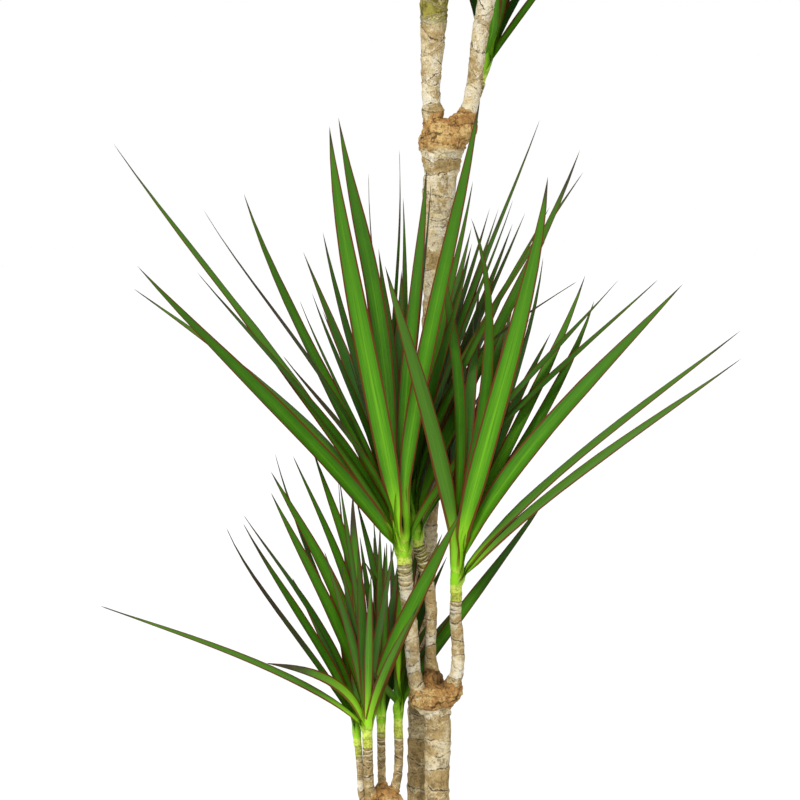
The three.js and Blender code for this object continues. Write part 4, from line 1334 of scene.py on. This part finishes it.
class MakePot(bpy.types.Operator):
    """Turns the nursery pot, with its rolled rim and drainage holes"""

    bl_idname = "plant.make_pot"
    bl_label = "Make pot"

    def execute(self, context):
        sizes = context.scene.plant_sizes
        tall = sizes.pot_height / MM
        foot = tall - RIM_HEIGHT

        def outside(height):
            return pot_inside(sizes, height) + POT_WALL

        rim = outside(tall) + RIM_REACH
        outline = [
            (1, UNDERSIDE),
            (outside(0) - FOOT_RING[0], UNDERSIDE),
            (outside(0) - FOOT_RING[1], 0),
            (outside(0) - BEVEL, 0),
            (outside(BEVEL + 4), BEVEL + 4),
            (outside(foot - 2), foot - 2),
            (outside(foot) + RIM_REACH, foot + BEVEL),
            (rim, tall - BEVEL),
            (rim - BEVEL, tall),
            (outside(tall) - POT_WALL + BEVEL, tall),
            (pot_inside(sizes, tall - BEVEL), tall - BEVEL),
            (pot_inside(sizes, POT_FLOOR), POT_FLOOR),
            (pot_inside(sizes, POT_WALL) - 4, POT_FLOOR),
            (1, POT_FLOOR),
        ]
        radii = [0.6, 0.8, 1.5, 3, 1.2, 1.2, 1.0, 1.0, 0.8, 0.8, 1.5, 1.0]
        shape = turned(eased(outline, radii), 144)
        pot = put("pot_shell", shape, pot_finish(context.scene.plant_colours), "pot", "pot")
        hole = np.array([(DRAINS["radius"], z) for z in (-6.0, 12.0)])
        for i in range(DRAINS["count"]):
            angle = i * 2 * np.pi / DRAINS["count"]
            points, quads, tris, _ = turned(hole, 24)
            points += DRAINS["ring"] * np.array([np.cos(angle), np.sin(angle), 0])
            tool = plain("drain", points, quads, tris)
            cut = pot.modifiers.new("drain", "BOOLEAN")
            cut.object = tool
            cut.operation = "DIFFERENCE"
            cut.solver = "EXACT"
            made = worked(pot)
            pot.modifiers.clear()
            pot.data = made
            bpy.data.objects.remove(tool)
        return {"FINISHED"}


class MakeSoil(bpy.types.Operator):
    """Fills the pot with potting mix and scatters bark and perlite on it"""

    bl_idname = "plant.make_soil"
    bl_label = "Make soil"

    def execute(self, context):
        sizes = context.scene.plant_sizes
        level = sizes.soil_level / MM
        brim = level - SOIL_MOUND
        floor = POT_FLOOR + GAP
        side = [(pot_inside(sizes, z) - GAP, z) for z in np.linspace(floor + 4, brim, 12)]
        inside = side[-1][0]
        across = [(r, level) for r in np.linspace(inside - 1, 1, 64)]
        outline = [(1, floor), (pot_inside(sizes, floor) - 6, floor), *side, *across]

        def lumpy(grid):
            top = slice(len(outline) - len(across), None)
            grid[top, :, 2] = soil_top(sizes, grid[top, :, :2])
            return grid

        soil = turned(outline, 160, lumpy)
        put("soil_mix", soil, soil_finish(context.scene.plant_colours), "soil", "soil")
        for name, (*how, low, high) in CHIPS.items():
            put(name, chips(sizes, *how), chip_finish(name, low, high), "soil")
        return {"FINISHED"}


def callus_shape(cane, seed, browner):
    """
    The corky head of a cane: one skin round its lumps and collars on the top of the trunk and the
    feet of the stems, which narrow into the bark. It is roughened along its normals by noise of
    three sizes, and by grooves where one more noise crosses zero. It is cork within a distance of
    the lumps, less so below them, and browner towards its top. The bark round it has rings 11 mm
    apart, which are bent by noise.
    """
    shapes = [collar(*cane["trunk"][-2:], TRUNK_COLLAR)]
    shapes += [lump(row) for row in cane["callus"]]
    shapes += [collar(*stem[:2], STEM_COLLAR) for stem in cane["stems"]]
    points, normals, quads, tris = skin(shapes, cell=0.85, rounds=3)
    lumps = np.array(cane["callus"], float)
    centres, sizes = as_seen(lumps[:, :3]), lumps[:, 3:]
    away = np.linalg.norm((points[:, None] - centres) / sizes, axis=-1).min(1)
    core = 1 - smooth(away, 1.1, 1.55)
    groove = np.abs(grain(points, 7.5, seed + 6) + 0.4 * grain(points, 3.1, seed + 7))
    # crack: where the grooves are, which the finish darkens as painted shade
    crack = (1 - smooth(groove, 0.0, 0.13)) * core
    rough = 1.3 * grain(points, 9.0, seed) + 1.0 * grain(points, 4.2, seed + 2)
    rough += (0.2 + 0.65 * core) * grain(points, 2.1, seed + 4) + 0.5 * core - 1.1 * crack
    points = points + normals * rough[:, None]
    none = np.zeros(len(points))
    low = centres[:, 2].min()
    low_side = smooth(points[:, 2], low - 15, low + 3)
    values = {
        "ring": CALLUS_RING + (points[:, 2] - low) / 11 + 0.5 * grain(points, 16.0, seed + 9),
        "scar": none + 0.055,
        "young": none,
        "brown": browner * smooth(points[:, 2], low + 6, low + 20),
        "cork": core * (0.2 + 0.8 * low_side),
        "crack": crack,
    }
    return points, quads, tris, values


class MakeBark(bpy.types.Operator):
    """Makes the canes and their side stems, with a ring of bark for each leaf scar"""

    bl_idname = "plant.make_bark"
    bl_label = "Make bark"

    def execute(self, context):
        finish = bark_finish(context.scene.plant_colours)
        for seed, (name, cane) in enumerate(CANES.items()):
            pitch, *brown, _ = TRUNK_BARK[name]
            trunk = np.array(cane["trunk"], float)
            trunk[-1, 3] -= UNDER_CALLUS
            parts = [tube(trunk, *TRUNK_MESH, (pitch, pitch, 1.0), (0, 1, 0.0, *brown), seed)]
            for i, (stem, bark) in enumerate(zip(cane["stems"], STEM_BARK[name])):
                spacing, young, dip = bark
                parts.append(tube(stem, *STEM_MESH, spacing, young, seed * 10 + i + 3, dip))
            put(f"bark_{name[5:]}", gathered(parts), finish, "bark", name)
        return {"FINISHED"}


class MakeCallus(bpy.types.Operator):
    """Makes the corky heads where the canes were cut"""

    bl_idname = "plant.make_callus"
    bl_label = "Make callus"

    def execute(self, context):
        finish = bpy.data.materials["bark_with_leaf_scars"]
        for seed, (name, cane) in enumerate(CANES.items()):
            shape = callus_shape(cane, seed, TRUNK_BARK[name][-1])
            put(f"callus_{name[5:]}", shape, finish, "bark", name)
        return {"FINISHED"}


class MakeCrowns(bpy.types.Operator):
    """Makes each crown's shoot and leaves"""

    bl_idname = "plant.make_crowns"
    bl_label = "Make crowns"

    def execute(self, context):
        sizes = context.scene.plant_sizes
        finish = leaf_finish(context.scene.plant_colours)
        for seed, (name, crown) in enumerate(CROWNS.items()):
            corners = rows_of(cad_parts[name].data.vertices, "co", 3)
            corners = np.unique(np.round(corners / MM, 3), axis=0)
            leaves = crown_leaves(crown, corners)
            parts = [shoot(crown)]
            for read, count in ((1, READ_RINGS), (0, FILL_RINGS)):
                chosen = leaves["read"] == read
                if chosen.any():
                    stations = np.linspace(0, 1, count + 1)[:-1] ** CROWDING
                    stations = np.append(stations, LAST_RING)
                    parts.append(blades(only(leaves, chosen), stations, sizes, seed))
            put(name.replace("crown", "leaves"), gathered(parts), finish, "leaf", name)
        return {"FINISHED"}


class MakeStage(bpy.types.Operator):
    """Sets up a pale floor, soft light and the camera"""

    bl_idname = "plant.make_stage"
    bl_label = "Make stage"

    def execute(self, context):
        scene = context.scene
        square = np.array([(-1, -1, 0), (1, -1, 0), (1, 1, 0), (-1, 1, 0)])
        mesh = bpy.data.meshes.new("floor")
        mesh.from_pydata((FLOOR_REACH * square).tolist(), [], [(0, 1, 2, 3)])
        floor = bpy.data.objects.new("floor", mesh)
        made, _, space = finish_of("floor_pale", 0.9, 0.2)
        pale = mixed(noise(space, 3.0), (0.86, 0.86, 0.86), (0.88, 0.88, 0.88))
        mesh.materials.append(painted(made, pale))
        scene.collection.objects.link(floor)
        world = bpy.data.worlds.new("studio")
        world.use_nodes = True
        tree = world.node_tree
        light = tree.nodes["Background"]
        light.inputs["Color"].default_value = WHITE
        light.inputs["Strength"].default_value = 0.62
        shown = add(tree, "ShaderNodeBackground", {"Color": WHITE, "Strength": 1.0})
        ray = add(tree, "ShaderNodeLightPath").outputs["Is Camera Ray"]
        both = add(tree, "ShaderNodeMixShader", {0: ray, 1: light.outputs[0], 2: shown.outputs[0]})
        tree.links.new(both.outputs[0], tree.nodes["World Output"].inputs["Surface"])
        scene.world = world
        for name, energy, angle, aim in (
            ("key", 2.6, 22, (0.42, 0.72, -0.75)),
            ("front", 0.9, 40, (-0.25, 1.0, -0.25)),
        ):
            sun = bpy.data.lights.new(name, "SUN")
            sun.energy = energy
            sun.angle = np.radians(angle)
            lamp = bpy.data.objects.new(name, sun)
            lamp.rotation_mode = "QUATERNION"
            lamp.rotation_quaternion = Vector(aim).to_track_quat("-Z", "Y")
            scene.collection.objects.link(lamp)
        camera = bpy.data.cameras.new("camera")
        away = float(np.linalg.norm(EYE - AIM))
        camera.lens = camera.sensor_width * away / SEEN_WIDTH
        camera.clip_end = 200.0
        seat = bpy.data.objects.new("camera", camera)
        seat.location = EYE * MM
        seat.rotation_mode = "QUATERNION"
        seat.rotation_quaternion = Vector(AIM - EYE).to_track_quat("-Z", "Y")
        scene.collection.objects.link(seat)
        scene.camera = seat
        scene.view_settings.view_transform = "Standard"
        return {"FINISHED"}


class PlantPanel(bpy.types.Panel):
    """Lists the steps that build the plant, with its sizes and colours"""

    bl_idname = "VIEW3D_PT_plant"
    bl_label = "Potted dracaena"
    bl_space_type = "VIEW_3D"
    bl_region_type = "UI"
    bl_category = "Plant"

    def draw(self, context):
        column = self.layout.column()
        for group in (context.scene.plant_sizes, context.scene.plant_colours):
            for key in group.__annotations__:
                column.prop(group, key)
        for step in STEPS:
            column.operator(step.bl_idname)


STEPS = (MakePot, MakeSoil, MakeBark, MakeCallus, MakeCrowns, MakeStage)
CLASSES = (PlantSizes, PlantColours, *STEPS, PlantPanel)


def register():
    for made in CLASSES:
        bpy.utils.register_class(made)
    bpy.types.Scene.plant_sizes = bpy.props.PointerProperty(type=PlantSizes)
    bpy.types.Scene.plant_colours = bpy.props.PointerProperty(type=PlantColours)


def unregister():
    del bpy.types.Scene.plant_colours
    del bpy.types.Scene.plant_sizes
    for made in reversed(CLASSES):
        bpy.utils.unregister_class(made)


def main():
    register()
    bpy.ops.plant.make_pot()
    bpy.ops.plant.make_soil()
    bpy.ops.plant.make_bark()
    bpy.ops.plant.make_callus()
    bpy.ops.plant.make_crowns()
    bpy.ops.plant.make_stage()


if __name__ == "__main__":
    main()
